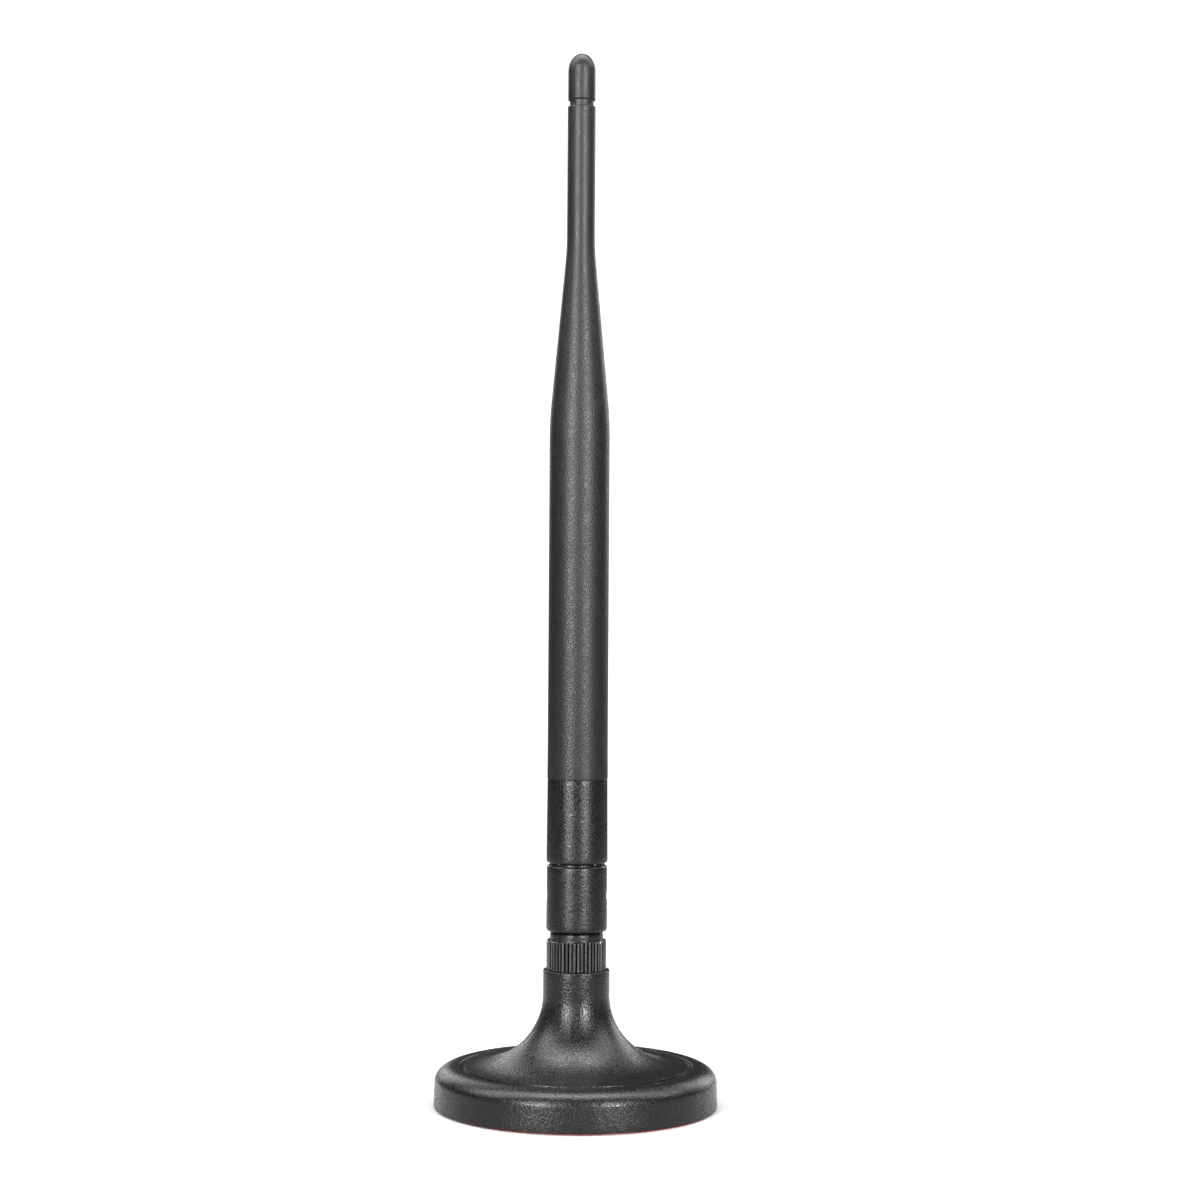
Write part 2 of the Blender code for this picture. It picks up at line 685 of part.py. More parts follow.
def plug(make, brass, white, gold, rubber, steel):
    groove = 0.4
    outline = [
        (SWIVEL_SHANK, PLUG_TOP),
        (SWIVEL_SHANK, CLIP_BOTTOM + CLIP_THICKNESS + FIT),
        (SWIVEL_SHANK - groove, CLIP_BOTTOM + CLIP_THICKNESS + FIT),
        (SWIVEL_SHANK - groove, CLIP_BOTTOM - FIT),
        (SWIVEL_SHANK, CLIP_BOTTOM - FIT),
        (SWIVEL_SHANK, SWIVEL_FLANGE_TOP),
        (SWIVEL_FLANGE_RADIUS, SWIVEL_FLANGE_TOP),
        (SWIVEL_FLANGE_RADIUS, SWIVEL_FLANGE_BOTTOM),
        (SHANK_RADIUS, SWIVEL_FLANGE_BOTTOM),
        (SHANK_RADIUS, RING_TOP + FIT),
        (SHANK_RADIUS - groove, RING_TOP + FIT),
        (SHANK_RADIUS - groove, RING_BOTTOM - FIT),
        (SHANK_RADIUS, RING_BOTTOM - FIT),
        (SHANK_RADIUS, PLUG_FACE),
        (FERRULE_RADIUS, PLUG_FACE),
        (FERRULE_RADIUS, FERRULE_BOTTOM),
        (PLUG_BORE, FERRULE_BOTTOM),
        (PLUG_BORE, PLUG_STEP),
        (COAX_BORE, PLUG_STEP),
        (COAX_BORE, PLUG_TOP),
    ]
    shell = make.turned("connector_body", outline, brass)
    insulator = make.tube(
        "connector_insulator",
        PLUG_BORE - RUNNING,
        SOCKET_RADIUS + RUNNING,
        FERRULE_BOTTOM + 1.6,
        PLUG_STEP - RUNNING,
        white,
    )
    socket = make.turned(
        "connector_contact",
        [
            (SOCKET_RADIUS, PLUG_STEP - 0.4),
            (SOCKET_RADIUS, FERRULE_BOTTOM + 0.2),
            (JACK_PIN_RADIUS + 0.15, FERRULE_BOTTOM + 0.2),
            (JACK_PIN_RADIUS + 0.15, JACK_TOP + 0.6),
            (0.3, JACK_TOP + 0.6),
            (0.3, PLUG_STEP - 0.4),
        ],
        gold,
        TINY_STEPS,
    )
    gasket = make.tube(
        "connector_gasket",
        GASKET_RADIUS,
        FERRULE_RADIUS + FIT,
        JACK_TOP + RUNNING,
        PLUG_FACE - RUNNING,
        rubber,
    )
    ring = split_ring(
        make,
        "nut_retaining_ring",
        (INSERT_BORE - RUNNING, SHANK_RADIUS - groove + FIT),
        (RING_BOTTOM, RING_TOP),
        RING_OPENING,
        steel,
    )
    clip = split_ring(
        make,
        "swivel_clip",
        (CLIP_RADIUS, SWIVEL_SHANK - groove + FIT),
        (CLIP_BOTTOM, CLIP_BOTTOM + CLIP_THICKNESS),
        CLIP_OPENING,
        steel,
    )
    friction = make.tube(
        "friction_ring",
        SWIVEL_FLANGE_RADIUS,
        SWIVEL_SHANK + RUNNING,
        SWIVEL_FLANGE_TOP + FIT,
        KNUCKLE_RECESS_TOP - FIT,
        rubber,
    )
    return [shell, insulator, socket, gasket, ring, clip, friction]


# ---------------------------------------------------------------- hinge


SLOT_HALF_WIDTH = 3.95
LUG_HALF_WIDTH = 3.75
LUG_GAP_HALF_WIDTH = 1.7
LUG_RADIUS = 4.0
CROWN_RADIUS = 5.6
PIN_HOLE = PIN_RADIUS + 0.07


def knuckle_body(make, look):
    """The fork: open at the top and the back, where the whip folds, with a plain wall across its front."""
    corners = [
        (CROWN_RADIUS, CROWN_TOP, 0.0),
        (CROWN_RADIUS, KNUCKLE_TOP, 0.0),
        (KNUCKLE_HEAD_RADIUS, KNUCKLE_TOP, 0.45),
        (KNUCKLE_FOOT_RADIUS, KNUCKLE_BOTTOM, 0.6),
        (SWIVEL_FLANGE_RADIUS + 0.2, KNUCKLE_BOTTOM, 0.0),
        (SWIVEL_FLANGE_RADIUS + 0.2, KNUCKLE_RECESS_TOP, 0.0),
        (SWIVEL_SHANK + 0.2, KNUCKLE_RECESS_TOP, 0.0),
        (SWIVEL_SHANK + 0.2, CROWN_TOP, 0.0),
    ]
    knuckle = make.turned("knuckle_body", rounded(corners, pieces=3), look, BODY_STEPS)
    wall_inside = -(LUG_RADIUS + LOOSE)
    slot = make.box(
        "hinge_slot",
        (-SLOT_HALF_WIDTH, wall_inside, KNUCKLE_FLOOR),
        (SLOT_HALF_WIDTH, 9, CROWN_TOP + 2),
    )
    sweep_radius = CROWN_TOP - PIVOT_Z
    swept = [(9.0, PIVOT_Z), (9.0, CROWN_TOP + 2), (0.0, CROWN_TOP + 2)]
    for step in range(13):
        angle = math.radians(90 - 90 * step / 12)
        swept.append((sweep_radius * math.cos(angle), PIVOT_Z + sweep_radius * math.sin(angle)))
    round_back = make.slab("hinge_round_back", swept, -8, 8)
    pin_holes = make.cylinder_along("knuckle_pin_holes", "X", PIN_HOLE, (-8, 0, PIVOT_Z), (8, 0, PIVOT_Z))
    cut(knuckle, slot, round_back, pin_holes)
    return knuckle


def pivot_pin(make, name, side, look):
    """Half of the hinge's axle, from the outside of one ear through one lug."""
    inner_end = LUG_GAP_HALF_WIDTH + 0.25
    outer_end = KNUCKLE_HEAD_RADIUS - 0.25
    outline = [
        (0, outer_end),
        (PIN_RADIUS - 0.2, outer_end),
        (PIN_RADIUS, outer_end - 0.2),
        (PIN_RADIUS, inner_end),
        (0, inner_end),
    ]
    pin = make.rod(name, outline, look, TINY_STEPS)
    pin.rotation_euler = (0, side * math.pi / 2, 0)
    pin.location = (0, 0, PIVOT_Z * MM)
    return pin


def whip_collar(make, look):
    spigot = 5.0
    spigot_top = COLLAR_TOP + 6
    bore = COAX_RADIUS + 0.5
    corners = [
        (spigot, spigot_top, 0.4),
        (spigot, COLLAR_TOP, 0.0),
        (COLLAR_HEAD_RADIUS, COLLAR_TOP, 0.0),
        (COLLAR_FOOT_RADIUS, COLLAR_BOTTOM, 0.5),
        (bore, COLLAR_BOTTOM, 0.0),
        (bore, spigot_top, 0.0),
    ]
    collar = make.turned("whip_collar", rounded(corners, pieces=3), look, BODY_STEPS)
    lug = [(-LUG_RADIUS, COLLAR_BOTTOM + 1.0)]
    for step in range(13):
        angle = math.radians(180 + 180 * step / 12)
        lug.append((LUG_RADIUS * math.cos(angle), PIVOT_Z + LUG_RADIUS * math.sin(angle)))
    lug.append((LUG_RADIUS, COLLAR_BOTTOM + 1.0))
    for name, inner, outer in (
        ("lug_left", -LUG_HALF_WIDTH, -LUG_GAP_HALF_WIDTH),
        ("lug_right", LUG_GAP_HALF_WIDTH, LUG_HALF_WIDTH),
    ):
        join(collar, make.slab(name, lug, inner, outer))
    lug_holes = make.cylinder_along("lug_pin_holes", "X", PIN_HOLE, (-5, 0, PIVOT_Z), (5, 0, PIVOT_Z))
    cut(collar, lug_holes)
    return collar


# ---------------------------------------------------------------- whip


SHEATH_BORE = 5.1
MAST_BORE = 1.6
CONE_TOP = 182.2
CONE_BOTTOM = 145.8
FLARE_HEIGHT = 6.6


def whip_sheath(make, look):
    corners = [
        (MAST_RADIUS, SHEATH_TOP, 0.3),
        (MAST_RADIUS, CONE_TOP, 64.0),
        (SHEATH_RADIUS, CONE_BOTTOM, 86.0),
        (SHEATH_RADIUS, SHEATH_BOTTOM + FLARE_HEIGHT, 0.0),
        (SHEATH_FLARE_RADIUS, SHEATH_BOTTOM, 0.0),
        (SHEATH_BORE, SHEATH_BOTTOM, 0.0),
        (SHEATH_BORE, CONE_BOTTOM, 0.0),
        (MAST_BORE, CONE_TOP + 4, 0.0),
        (MAST_BORE, SHEATH_TOP, 0.0),
    ]
    return make.turned("whip_sheath", rounded(corners, pieces=6), look, BODY_STEPS)


def tip_cap(make, look):
    neck = 2.55
    spigot = MAST_BORE - RUNNING
    spigot_bottom = SHEATH_TOP - 6.5
    dome = ellipse_quarter((0, TIP_TOP - TIP_DOME), TIP_RADIUS, TIP_DOME, 90, 0, 8)
    outline = [(r, z) for r, z, _ in dome]
    outline[0] = (0, TIP_TOP)
    outline += [
        (TIP_RADIUS, TIP_EDGE + 0.2),
        (TIP_RADIUS - 0.15, TIP_EDGE),
        (neck, TIP_EDGE),
        (neck, SHEATH_TOP + FIT),
        (spigot, SHEATH_TOP + FIT),
        (spigot, spigot_bottom + 0.4),
        (spigot - 0.3, spigot_bottom),
        (0, spigot_bottom),
    ]
    return make.rod("tip_cap", outline, look)


CHOKE_BOTTOM = SHEATH_BOTTOM + 7.5
CHOKE_TOP = CHOKE_BOTTOM + 28
CHOKE_RADIUS = 2.6
SPACER_HEIGHT = 3.0
RADIATOR_BOTTOM = CHOKE_TOP + 0.4
RADIATOR_TOP = SHEATH_TOP - 7.2
RADIATOR_RADIUS = 0.5
COIL_RADIUS = 2.4
COIL_BOTTOM = RADIATOR_BOTTOM + 33
COIL_TURNS = 4
COIL_PITCH = 2.6


def radiator_path():
    """Straight up the axis, out onto the coil, round it, back to the axis and on up."""
    coil_height = COIL_TURNS * COIL_PITCH
    lead = 2.0
    points = [(0, 0, RADIATOR_BOTTOM), (0, 0, COIL_BOTTOM - lead)]
    count = 12 * COIL_TURNS
    for step in range(count + 1):
        angle = 2 * math.pi * COIL_TURNS * step / count
        height = COIL_BOTTOM + coil_height * step / count
        points.append((COIL_RADIUS * math.cos(angle), COIL_RADIUS * math.sin(angle), height))
    points.append((0, 0, COIL_BOTTOM + coil_height + lead))
    points.append((0, 0, RADIATOR_TOP))
    return points


def aerial(make, coax, brass, copper, white):
    flex_top = COLLAR_BOTTOM + 0.3
    flex = make.prism("coax_flex", TINY_STEPS, 2 * COAX_RADIUS, PLUG_STEP + 0.3, flex_top, coax)
    feed = make.prism("coax_feed", TINY_STEPS, 2 * COAX_RADIUS, flex_top + RUNNING, CHOKE_TOP, coax)
    wall = 0.3
    cap = 0.6
    choke = make.turned(
        "choke_sleeve",
        [
            (CHOKE_RADIUS, CHOKE_TOP),
            (CHOKE_RADIUS, CHOKE_BOTTOM),
            (CHOKE_RADIUS - wall, CHOKE_BOTTOM),
            (CHOKE_RADIUS - wall, CHOKE_TOP - cap),
            (COAX_RADIUS + RUNNING, CHOKE_TOP - cap),
            (COAX_RADIUS + RUNNING, CHOKE_TOP),
        ],
        brass,
    )
    radiator = make.wire("radiator_wire", radiator_path(), RADIATOR_RADIUS, copper)
    low_end = CHOKE_TOP - 8
    high_end = COIL_BOTTOM + COIL_TURNS * COIL_PITCH + 8
    choke_hole = CHOKE_RADIUS + RUNNING
    wire_hole = RADIATOR_RADIUS + 0.15
    spacer_radius = SHEATH_BORE - RUNNING
    lower = make.tube("spacer_lower", spacer_radius, choke_hole, low_end, low_end + SPACER_HEIGHT, white)
    upper = make.tube("spacer_upper", 3.4, wire_hole, high_end, high_end + SPACER_HEIGHT, white)
    return flex, [feed, choke, radiator, lower, upper]


# ---------------------------------------------------------------- the whole antenna


def build():
    clear_scene()
    make = Maker()
    base_plastic = material("base_plastic", (0.045, 0.048, 0.045), 0.5)
    dark_plastic = material("dark_plastic", (0.018, 0.018, 0.019), 0.35)
    sheath_rubber = material("sheath_rubber", (0.035, 0.035, 0.037), 0.6)
    inner_plastic = material("inner_plastic", (0.03, 0.03, 0.03), 0.55)
    ferrite = material("ferrite", (0.05, 0.05, 0.055), 0.6, 0.3)
    steel = material("steel", (0.55, 0.55, 0.57), 0.35, 1.0)
    brass = material("brass", (0.75, 0.56, 0.25), 0.3, 1.0)
    gold = material("gold_plate", (0.9, 0.68, 0.3), 0.2, 1.0)
    copper = material("copper_wire", (0.72, 0.4, 0.25), 0.3, 1.0)
    white = material("white_insulator", (0.85, 0.85, 0.83), 0.5)
    coax = material("coax_jacket", (0.5, 0.33, 0.17), 0.45)
    rubber = material("black_rubber", (0.02, 0.02, 0.02), 0.7)
    foam = material("grey_foam", (0.12, 0.12, 0.12), 0.9)
    film = material("red_film", (0.55, 0.03, 0.03), 0.35)

    base_parts = [base_shell(make, base_plastic), base_plate(make, inner_plastic)]
    base_parts += base_screws(make, steel)
    base_parts += magnet(make, ferrite, steel)
    base_parts += [cable_grommet(make, rubber)]
    base_parts += underside(make, foam, film)
    base_parts += jack(make, brass, white, gold, steel)
    nut_parts = coupling_nut(make, dark_plastic, brass)
    plug_parts = plug(make, brass, white, gold, rubber, steel)
    flex, whip_parts = aerial(make, coax, brass, copper, white)
    knuckle_parts = [knuckle_body(make, dark_plastic), flex]
    knuckle_parts.append(pivot_pin(make, "pivot_pin_left", -1, steel))
    knuckle_parts.append(pivot_pin(make, "pivot_pin_right", 1, steel))
    whip_parts += [
        whip_collar(make, dark_plastic),
        whip_sheath(make, sheath_rubber),
        tip_cap(make, sheath_rubber),
    ]

    body("base_origin", 0, base_parts)
    body("nut_axis", NUT_BOTTOM, nut_parts)
    body("plug_axis", PLUG_FACE, plug_parts)
    body("swivel_axis", KNUCKLE_BOTTOM, knuckle_parts)
    body("tilt_axis", PIVOT_Z, whip_parts)


build()
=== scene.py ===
"""Looks of the omnidirectional antenna: its detailed pieces, their materials, the light and the camera.

The pieces' heights and radii are in millimetres in the frame of the antenna: Z is the axis of the base and
whip, Z = 0 is the underside, and the front faces -Y. MM turns them into metres where a mesh is made. The
floor's and the lights' sizes and places are in metres.
"""

import json
import math

import bmesh
import bpy
from mathutils import Matrix, Vector

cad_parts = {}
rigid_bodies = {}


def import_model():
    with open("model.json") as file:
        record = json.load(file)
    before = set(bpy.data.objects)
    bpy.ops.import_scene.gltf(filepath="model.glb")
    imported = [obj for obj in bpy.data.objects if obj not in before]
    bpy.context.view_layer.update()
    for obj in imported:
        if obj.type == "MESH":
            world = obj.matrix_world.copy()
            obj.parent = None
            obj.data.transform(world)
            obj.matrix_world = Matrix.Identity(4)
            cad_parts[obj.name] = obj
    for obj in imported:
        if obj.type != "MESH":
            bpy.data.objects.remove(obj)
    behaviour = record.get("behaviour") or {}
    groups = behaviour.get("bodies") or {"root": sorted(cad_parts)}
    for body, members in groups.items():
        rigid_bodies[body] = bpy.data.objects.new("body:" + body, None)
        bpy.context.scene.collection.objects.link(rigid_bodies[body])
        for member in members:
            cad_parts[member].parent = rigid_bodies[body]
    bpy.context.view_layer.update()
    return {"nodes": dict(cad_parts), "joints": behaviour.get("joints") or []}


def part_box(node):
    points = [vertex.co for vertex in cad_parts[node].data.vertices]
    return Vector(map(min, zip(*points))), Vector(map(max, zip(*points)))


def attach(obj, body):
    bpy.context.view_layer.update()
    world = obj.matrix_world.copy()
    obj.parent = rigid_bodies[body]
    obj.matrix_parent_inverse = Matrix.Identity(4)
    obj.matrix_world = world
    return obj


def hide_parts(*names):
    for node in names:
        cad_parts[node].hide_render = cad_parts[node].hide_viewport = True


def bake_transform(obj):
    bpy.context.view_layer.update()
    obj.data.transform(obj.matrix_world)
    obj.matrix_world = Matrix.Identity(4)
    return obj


for startup_object in list(bpy.data.objects):
    bpy.data.objects.remove(startup_object, do_unlink=True)
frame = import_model()

MM = 0.001
SHARP_ANGLE = math.radians(32)
MERGE_DISTANCE = 0.002 * MM
CUTTER_STEPS = 64


def span(node):
    """Lowest and highest corner of a CAD node, in millimetres."""
    low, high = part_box(node)
    return low / MM, high / MM


# ---------------------------------------------------------------- outlines


def rounded(corners, pieces=5):
    """A closed outline through corners of (x, y, fillet radius).

    A fillet is an arc of this many pieces, and a radius of 0 leaves the corner sharp.
    """
    outline = []
    for index, (x, y, radius) in enumerate(corners):
        corner = Vector((x, y))
        if radius == 0:
            outline.append((x, y))
            continue
        back = (Vector(corners[index - 1][:2]) - corner).normalized()
        ahead = (Vector(corners[(index + 1) % len(corners)][:2]) - corner).normalized()
        half_angle = back.angle(ahead) / 2
        centre = corner + (back + ahead).normalized() * radius / math.sin(half_angle)
        first = corner + back * radius / math.tan(half_angle) - centre
        last = corner + ahead * radius / math.tan(half_angle) - centre
        sweep = math.atan2(first.x * last.y - first.y * last.x, first.dot(last))
        for step in range(pieces + 1):
            point = centre + Matrix.Rotation(sweep * step / pieces, 2) @ first
            outline.append((point.x, point.y))
    return outline


def ellipse_quarter(centre, half_width, half_height, start, end, pieces):
    """Corners without fillets on an ellipse from one angle to another, in degrees."""
    points = []
    for step in range(pieces + 1):
        angle = math.radians(start + (end - start) * step / pieces)
        along = centre[0] + half_width * math.cos(angle)
        up = centre[1] + half_height * math.sin(angle)
        points.append((along, up, 0.0))
    return points


def divided(outline, longest):
    """The closed outline with its long edges cut into pieces no longer than this."""
    points = []
    for (x0, y0), (x1, y1) in zip(outline, outline[1:] + outline[:1]):
        count = max(1, math.ceil(math.hypot(x1 - x0, y1 - y0) / longest))
        for step in range(count):
            points.append((x0 + (x1 - x0) * step / count, y0 + (y1 - y0) * step / count))
    return points


# ---------------------------------------------------------------- solids


def shade_smoothly(mesh):
    """Smooth shading that keeps the sharp edges."""
    mesh.shade_smooth()
    mesh.set_sharp_from_angle(angle=SHARP_ANGLE)


def piece_from(name, mesh):
    mesh.validate()
    shade_smoothly(mesh)
    piece = bpy.data.objects.new(name, mesh)
    bpy.context.scene.collection.objects.link(piece)
    return piece


def lathe(name, outline, steps, shape=None, on_axis=False):
    """Turns an outline of (radius, height) about Z, its outer side running down.

    With on_axis the outline's two ends lie on the axis, and otherwise it is a closed loop.
    shape(radius, height, angle) may give each point another radius.
    """
    turned = outline[1:-1] if on_axis else outline
    angles = [2 * math.pi * step / steps for step in range(steps)]
    points = []
    for radius, height in turned:
        for angle in angles:
            reach = shape(radius, height, angle) if shape else radius
            points.append((reach * math.cos(angle) * MM, reach * math.sin(angle) * MM, height * MM))
    faces = []
    rings = len(turned)
    for ring in range(rings - 1 if on_axis else rings):
        below = (ring + 1) % rings
        for step in range(steps):
            ahead = (step + 1) % steps
            here = ring * steps
            under = below * steps
            faces.append((here + step, under + step, under + ahead, here + ahead))
    if on_axis:
        top = len(points)
        points.append((0, 0, outline[0][1] * MM))
        points.append((0, 0, outline[-1][1] * MM))
        last = (rings - 1) * steps
        for step in range(steps):
            ahead = (step + 1) % steps
            faces.append((top, step, ahead))
            faces.append((top + 1, last + ahead, last + step))
    mesh = bpy.data.meshes.new(name)
    mesh.from_pydata(points, [], faces)
    return piece_from(name, mesh)


def cylinder_cutter(radius, start, end):
    """A cylinder between two points."""
    along = Vector(end) - Vector(start)
    turn = along.to_track_quat("Z", "Y").to_matrix().to_4x4()
    shape = bmesh.new()
    bmesh.ops.create_cone(
        shape,
        cap_ends=True,
        segments=CUTTER_STEPS,
        radius1=radius * MM,
        radius2=radius * MM,
        depth=along.length * MM,
        matrix=Matrix.Translation((Vector(start) + Vector(end)) / 2 * MM) @ turn,
    )
    return cutter_from(shape)


def cutter_from(shape):
    """A temporary object that apply_boolean uses and removes."""
    mesh = bpy.data.meshes.new("cutter")
    shape.to_mesh(mesh)
    shape.free()
    cutter = bpy.data.objects.new("cutter", mesh)
    bpy.context.scene.collection.objects.link(cutter)
    return cutter


def box_cutter(low, high):
    shape = bmesh.new()
    bmesh.ops.create_cube(shape, size=1.0)
    bmesh.ops.scale(shape, vec=(Vector(high) - Vector(low)) * MM, verts=shape.verts)
    bmesh.ops.translate(shape, vec=(Vector(high) + Vector(low)) / 2 * MM, verts=shape.verts)
    return cutter_from(shape)


def slab(outline, low_x, high_x):
    """An outline of (y, z), counter-clockwise seen from +X, given a thickness along X."""
    shape = bmesh.new()
    near = [shape.verts.new((low_x * MM, y * MM, z * MM)) for y, z in outline]
    face = shape.faces.new(near)
    made = bmesh.ops.extrude_face_region(shape, geom=[face])
    moved = [item for item in made["geom"] if isinstance(item, bmesh.types.BMVert)]
    bmesh.ops.translate(shape, vec=((high_x - low_x) * MM, 0, 0), verts=moved)
    bmesh.ops.recalc_face_normals(shape, faces=shape.faces)
    return cutter_from(shape)


def apply_boolean(piece, other, operation):
    """Cuts the piece with another object, or joins that object to it, and removes the other object."""
    boolean = piece.modifiers.new("boolean", "BOOLEAN")
    boolean.solver = "EXACT"
    boolean.operation = operation
    boolean.object = other
    settle(piece)
    bpy.data.objects.remove(other, do_unlink=True)


def settle(piece):
    """Applies the piece's modifiers and welds the doubled points that they leave."""
    graph = bpy.context.evaluated_depsgraph_get()
    made = bpy.data.meshes.new_from_object(piece.evaluated_get(graph))
    piece.modifiers.clear()
    shape = bmesh.new()
    shape.from_mesh(made)
    bmesh.ops.remove_doubles(shape, verts=shape.verts, dist=MERGE_DISTANCE)
    bmesh.ops.dissolve_degenerate(shape, edges=shape.edges, dist=MERGE_DISTANCE)
    shape.to_mesh(made)
    shape.free()
    old = piece.data
    piece.data = made
    made.name = piece.name
    bpy.data.meshes.remove(old)


# ---------------------------------------------------------------- materials


class Surface:
    """A Principled material whose looks come from procedural textures, with their sizes in millimetres."""

    def __init__(self, name, roughness, metallic=0.0, specular=0.5):
        self.material = bpy.data.materials.new(name)
        self.material.use_nodes = True
        self.nodes = self.material.node_tree.nodes
        self.links = self.material.node_tree.links
        self.shader = self.nodes["Principled BSDF"]
        self.shader.inputs["Roughness"].default_value = roughness
        self.shader.inputs["Metallic"].default_value = metallic
        self.shader.inputs["Specular IOR Level"].default_value = specular
        place = self.nodes.new("ShaderNodeTexCoord")
        scale = self.nodes.new("ShaderNodeMapping")
        scale.inputs["Scale"].default_value = (1 / MM, 1 / MM, 1 / MM)
        self.links.new(place.outputs["Object"], scale.inputs["Vector"])
        self.place = scale.outputs["Vector"]
        self.relief = None

    def stretched(self, x, y, z):
        """The place with its axes scaled, for streaks."""
        scale = self.nodes.new("ShaderNodeMapping")
        scale.inputs["Scale"].default_value = (x, y, z)
        self.links.new(self.place, scale.inputs["Vector"])
        return scale.outputs["Vector"]

    def noise(self, size, detail=3.0, place=None):
        """Cloudy noise whose features are about this many millimetres across."""
        node = self.nodes.new("ShaderNodeTexNoise")
        node.inputs["Scale"].default_value = 1 / size
        node.inputs["Detail"].default_value = detail
        node.inputs["Roughness"].default_value = 0.5
        self.links.new(place or self.place, node.inputs["Vector"])
        return node.outputs["Fac"]

    def cells(self, size):
        """Rounded pits about this many millimetres across."""
        node = self.nodes.new("ShaderNodeTexVoronoi")
        node.feature = "SMOOTH_F1"
        node.inputs["Scale"].default_value = 1 / size
        node.inputs["Smoothness"].default_value = 0.6
        self.links.new(self.place, node.inputs["Vector"])
        return node.outputs["Distance"]

    def spread(self, value, low, high, start=0.3, end=0.7):
        """The value moved from one range to another."""
        node = self.nodes.new("ShaderNodeMapRange")
        node.inputs["From Min"].default_value = start
        node.inputs["From Max"].default_value = end
        node.inputs["To Min"].default_value = low
        node.inputs["To Max"].default_value = high
        self.links.new(value, node.inputs["Value"])
        return node.outputs["Result"]

    def join(self, first, second, operation="ADD"):
        """The result of a sum on two values, each of them a number or a texture's output."""
        node = self.nodes.new("ShaderNodeMath")
        node.operation = operation
        for socket, value in zip(node.inputs, (first, second)):
            if isinstance(value, float):
                socket.default_value = value
            else:
                self.links.new(value, socket)
        return node.outputs["Value"]

    def mix(self, factor, low, high):
        """A colour between two, each of them a colour or another mix, by a value from 0 to 1."""
        node = self.nodes.new("ShaderNodeMix")
        node.data_type = "RGBA"
        self.links.new(factor, node.inputs["Factor"])
        for socket, colour in (("A", low), ("B", high)):
            target = [i for i in node.inputs if i.name == socket and i.type == "RGBA"][0]
            if isinstance(colour, tuple):
                target.default_value = (*colour, 1.0)
            else:
                self.links.new(colour, target)
        return [o for o in node.outputs if o.type == "RGBA"][0]

    def colour(self, source):
        self.links.new(source, self.shader.inputs["Base Color"])

    def rough(self, source):
        self.links.new(source, self.shader.inputs["Roughness"])

    def bump(self, height, depth):
        """Relief of this many millimetres from a height of 0 to 1, on top of any relief before it."""
        node = self.nodes.new("ShaderNodeBump")
        node.inputs["Strength"].default_value = 1.0
        node.inputs["Distance"].default_value = depth * MM
        self.links.new(height, node.inputs["Height"])
        if self.relief:
            self.links.new(self.relief, node.inputs["Normal"])
        self.relief = node.outputs["Normal"]
        self.links.new(self.relief, self.shader.inputs["Normal"])

    def painted_edge_highlights(self):
        """A mask for painted highlights: up to 1 on the crest of a sharp outward edge, in patches, and 0
        elsewhere.
        """
        geometry = self.nodes.new("ShaderNodeNewGeometry")
        # Sharp outward edges, found by pointiness, are where the painted edge highlight goes.
        edge = self.spread(geometry.outputs["Pointiness"], 0.0, 1.0, 0.52, 0.62)
        return self.join(edge, self.spread(self.noise(0.8), 0.3, 1.0), "MULTIPLY")


def tinted(colour, factor):
    """The colour made paler or darker by a factor."""
    return tuple(channel * factor for channel in colour)


def moulded(name, colour, roughness, grain, depth, specular=0.5, edge=1.6, speckle=0.04):
    """Moulded plastic with a spark-eroded grain, its crests glossier, with painted highlight on the crests
    and painted shade in the pits.

    Grain is the size of the crests and depth their height, in millimetres. Edge is how many times paler
    the painted highlight on a sharp edge is, and speckle is how much smoother than the average a crest is.
    The colour and the gloss also drift in clouds.
    """
    surface = Surface(name, roughness, specular=specular)
    cloud_share = 0.35
    crests = surface.spread(surface.noise(grain, detail=1.0), 0.0, 1.0, 0.36, 0.64)
    clouds = surface.spread(surface.noise(9.0, detail=4.0), 0.0, 1.0)
    # The crests are painted paler and the pits darker, a painted highlight and painted shade, over random
    # clouds of tone.
    cloud_part = surface.join(clouds, cloud_share, "MULTIPLY")
    crest_part = surface.join(crests, 1.0 - cloud_share, "MULTIPLY")
    shade = surface.join(cloud_part, crest_part)
    body = surface.mix(shade, tinted(colour, 0.6), tinted(colour, 1.4))
    # Sharp edges are painted paler by the edge factor: a painted highlight along them.
    surface.colour(surface.mix(surface.painted_edge_highlights(), body, tinted(colour, edge)))
    drift = surface.spread(surface.noise(2.6, detail=5.0), roughness - 0.02, roughness + 0.05)
    surface.rough(surface.join(drift, surface.spread(crests, speckle, -speckle, 0.0, 1.0)))
    surface.bump(crests, depth)
    return surface.material


def metal(name, colour, roughness):
    """Machined or drawn metal: fine turning marks round the axis, dulled patches and painted highlights on
    sharp edges.
    """
    surface = Surface(name, roughness, metallic=1.0)
    shade = surface.spread(surface.noise(3.0, detail=5.0), 0.0, 1.0)
    body = surface.mix(shade, tinted(colour, 0.82), tinted(colour, 1.05))
    # Sharp edges are painted paler: a painted highlight along them.
    surface.colour(surface.mix(surface.painted_edge_highlights(), body, tinted(colour, 1.2)))
    surface.rough(surface.spread(surface.noise(1.1, detail=4.0), roughness - 0.07, roughness + 0.1))
    turned = surface.stretched(0.3, 0.3, 9.0)
    surface.bump(surface.noise(1.0, detail=2.0, place=turned), 0.002)
    return surface.material


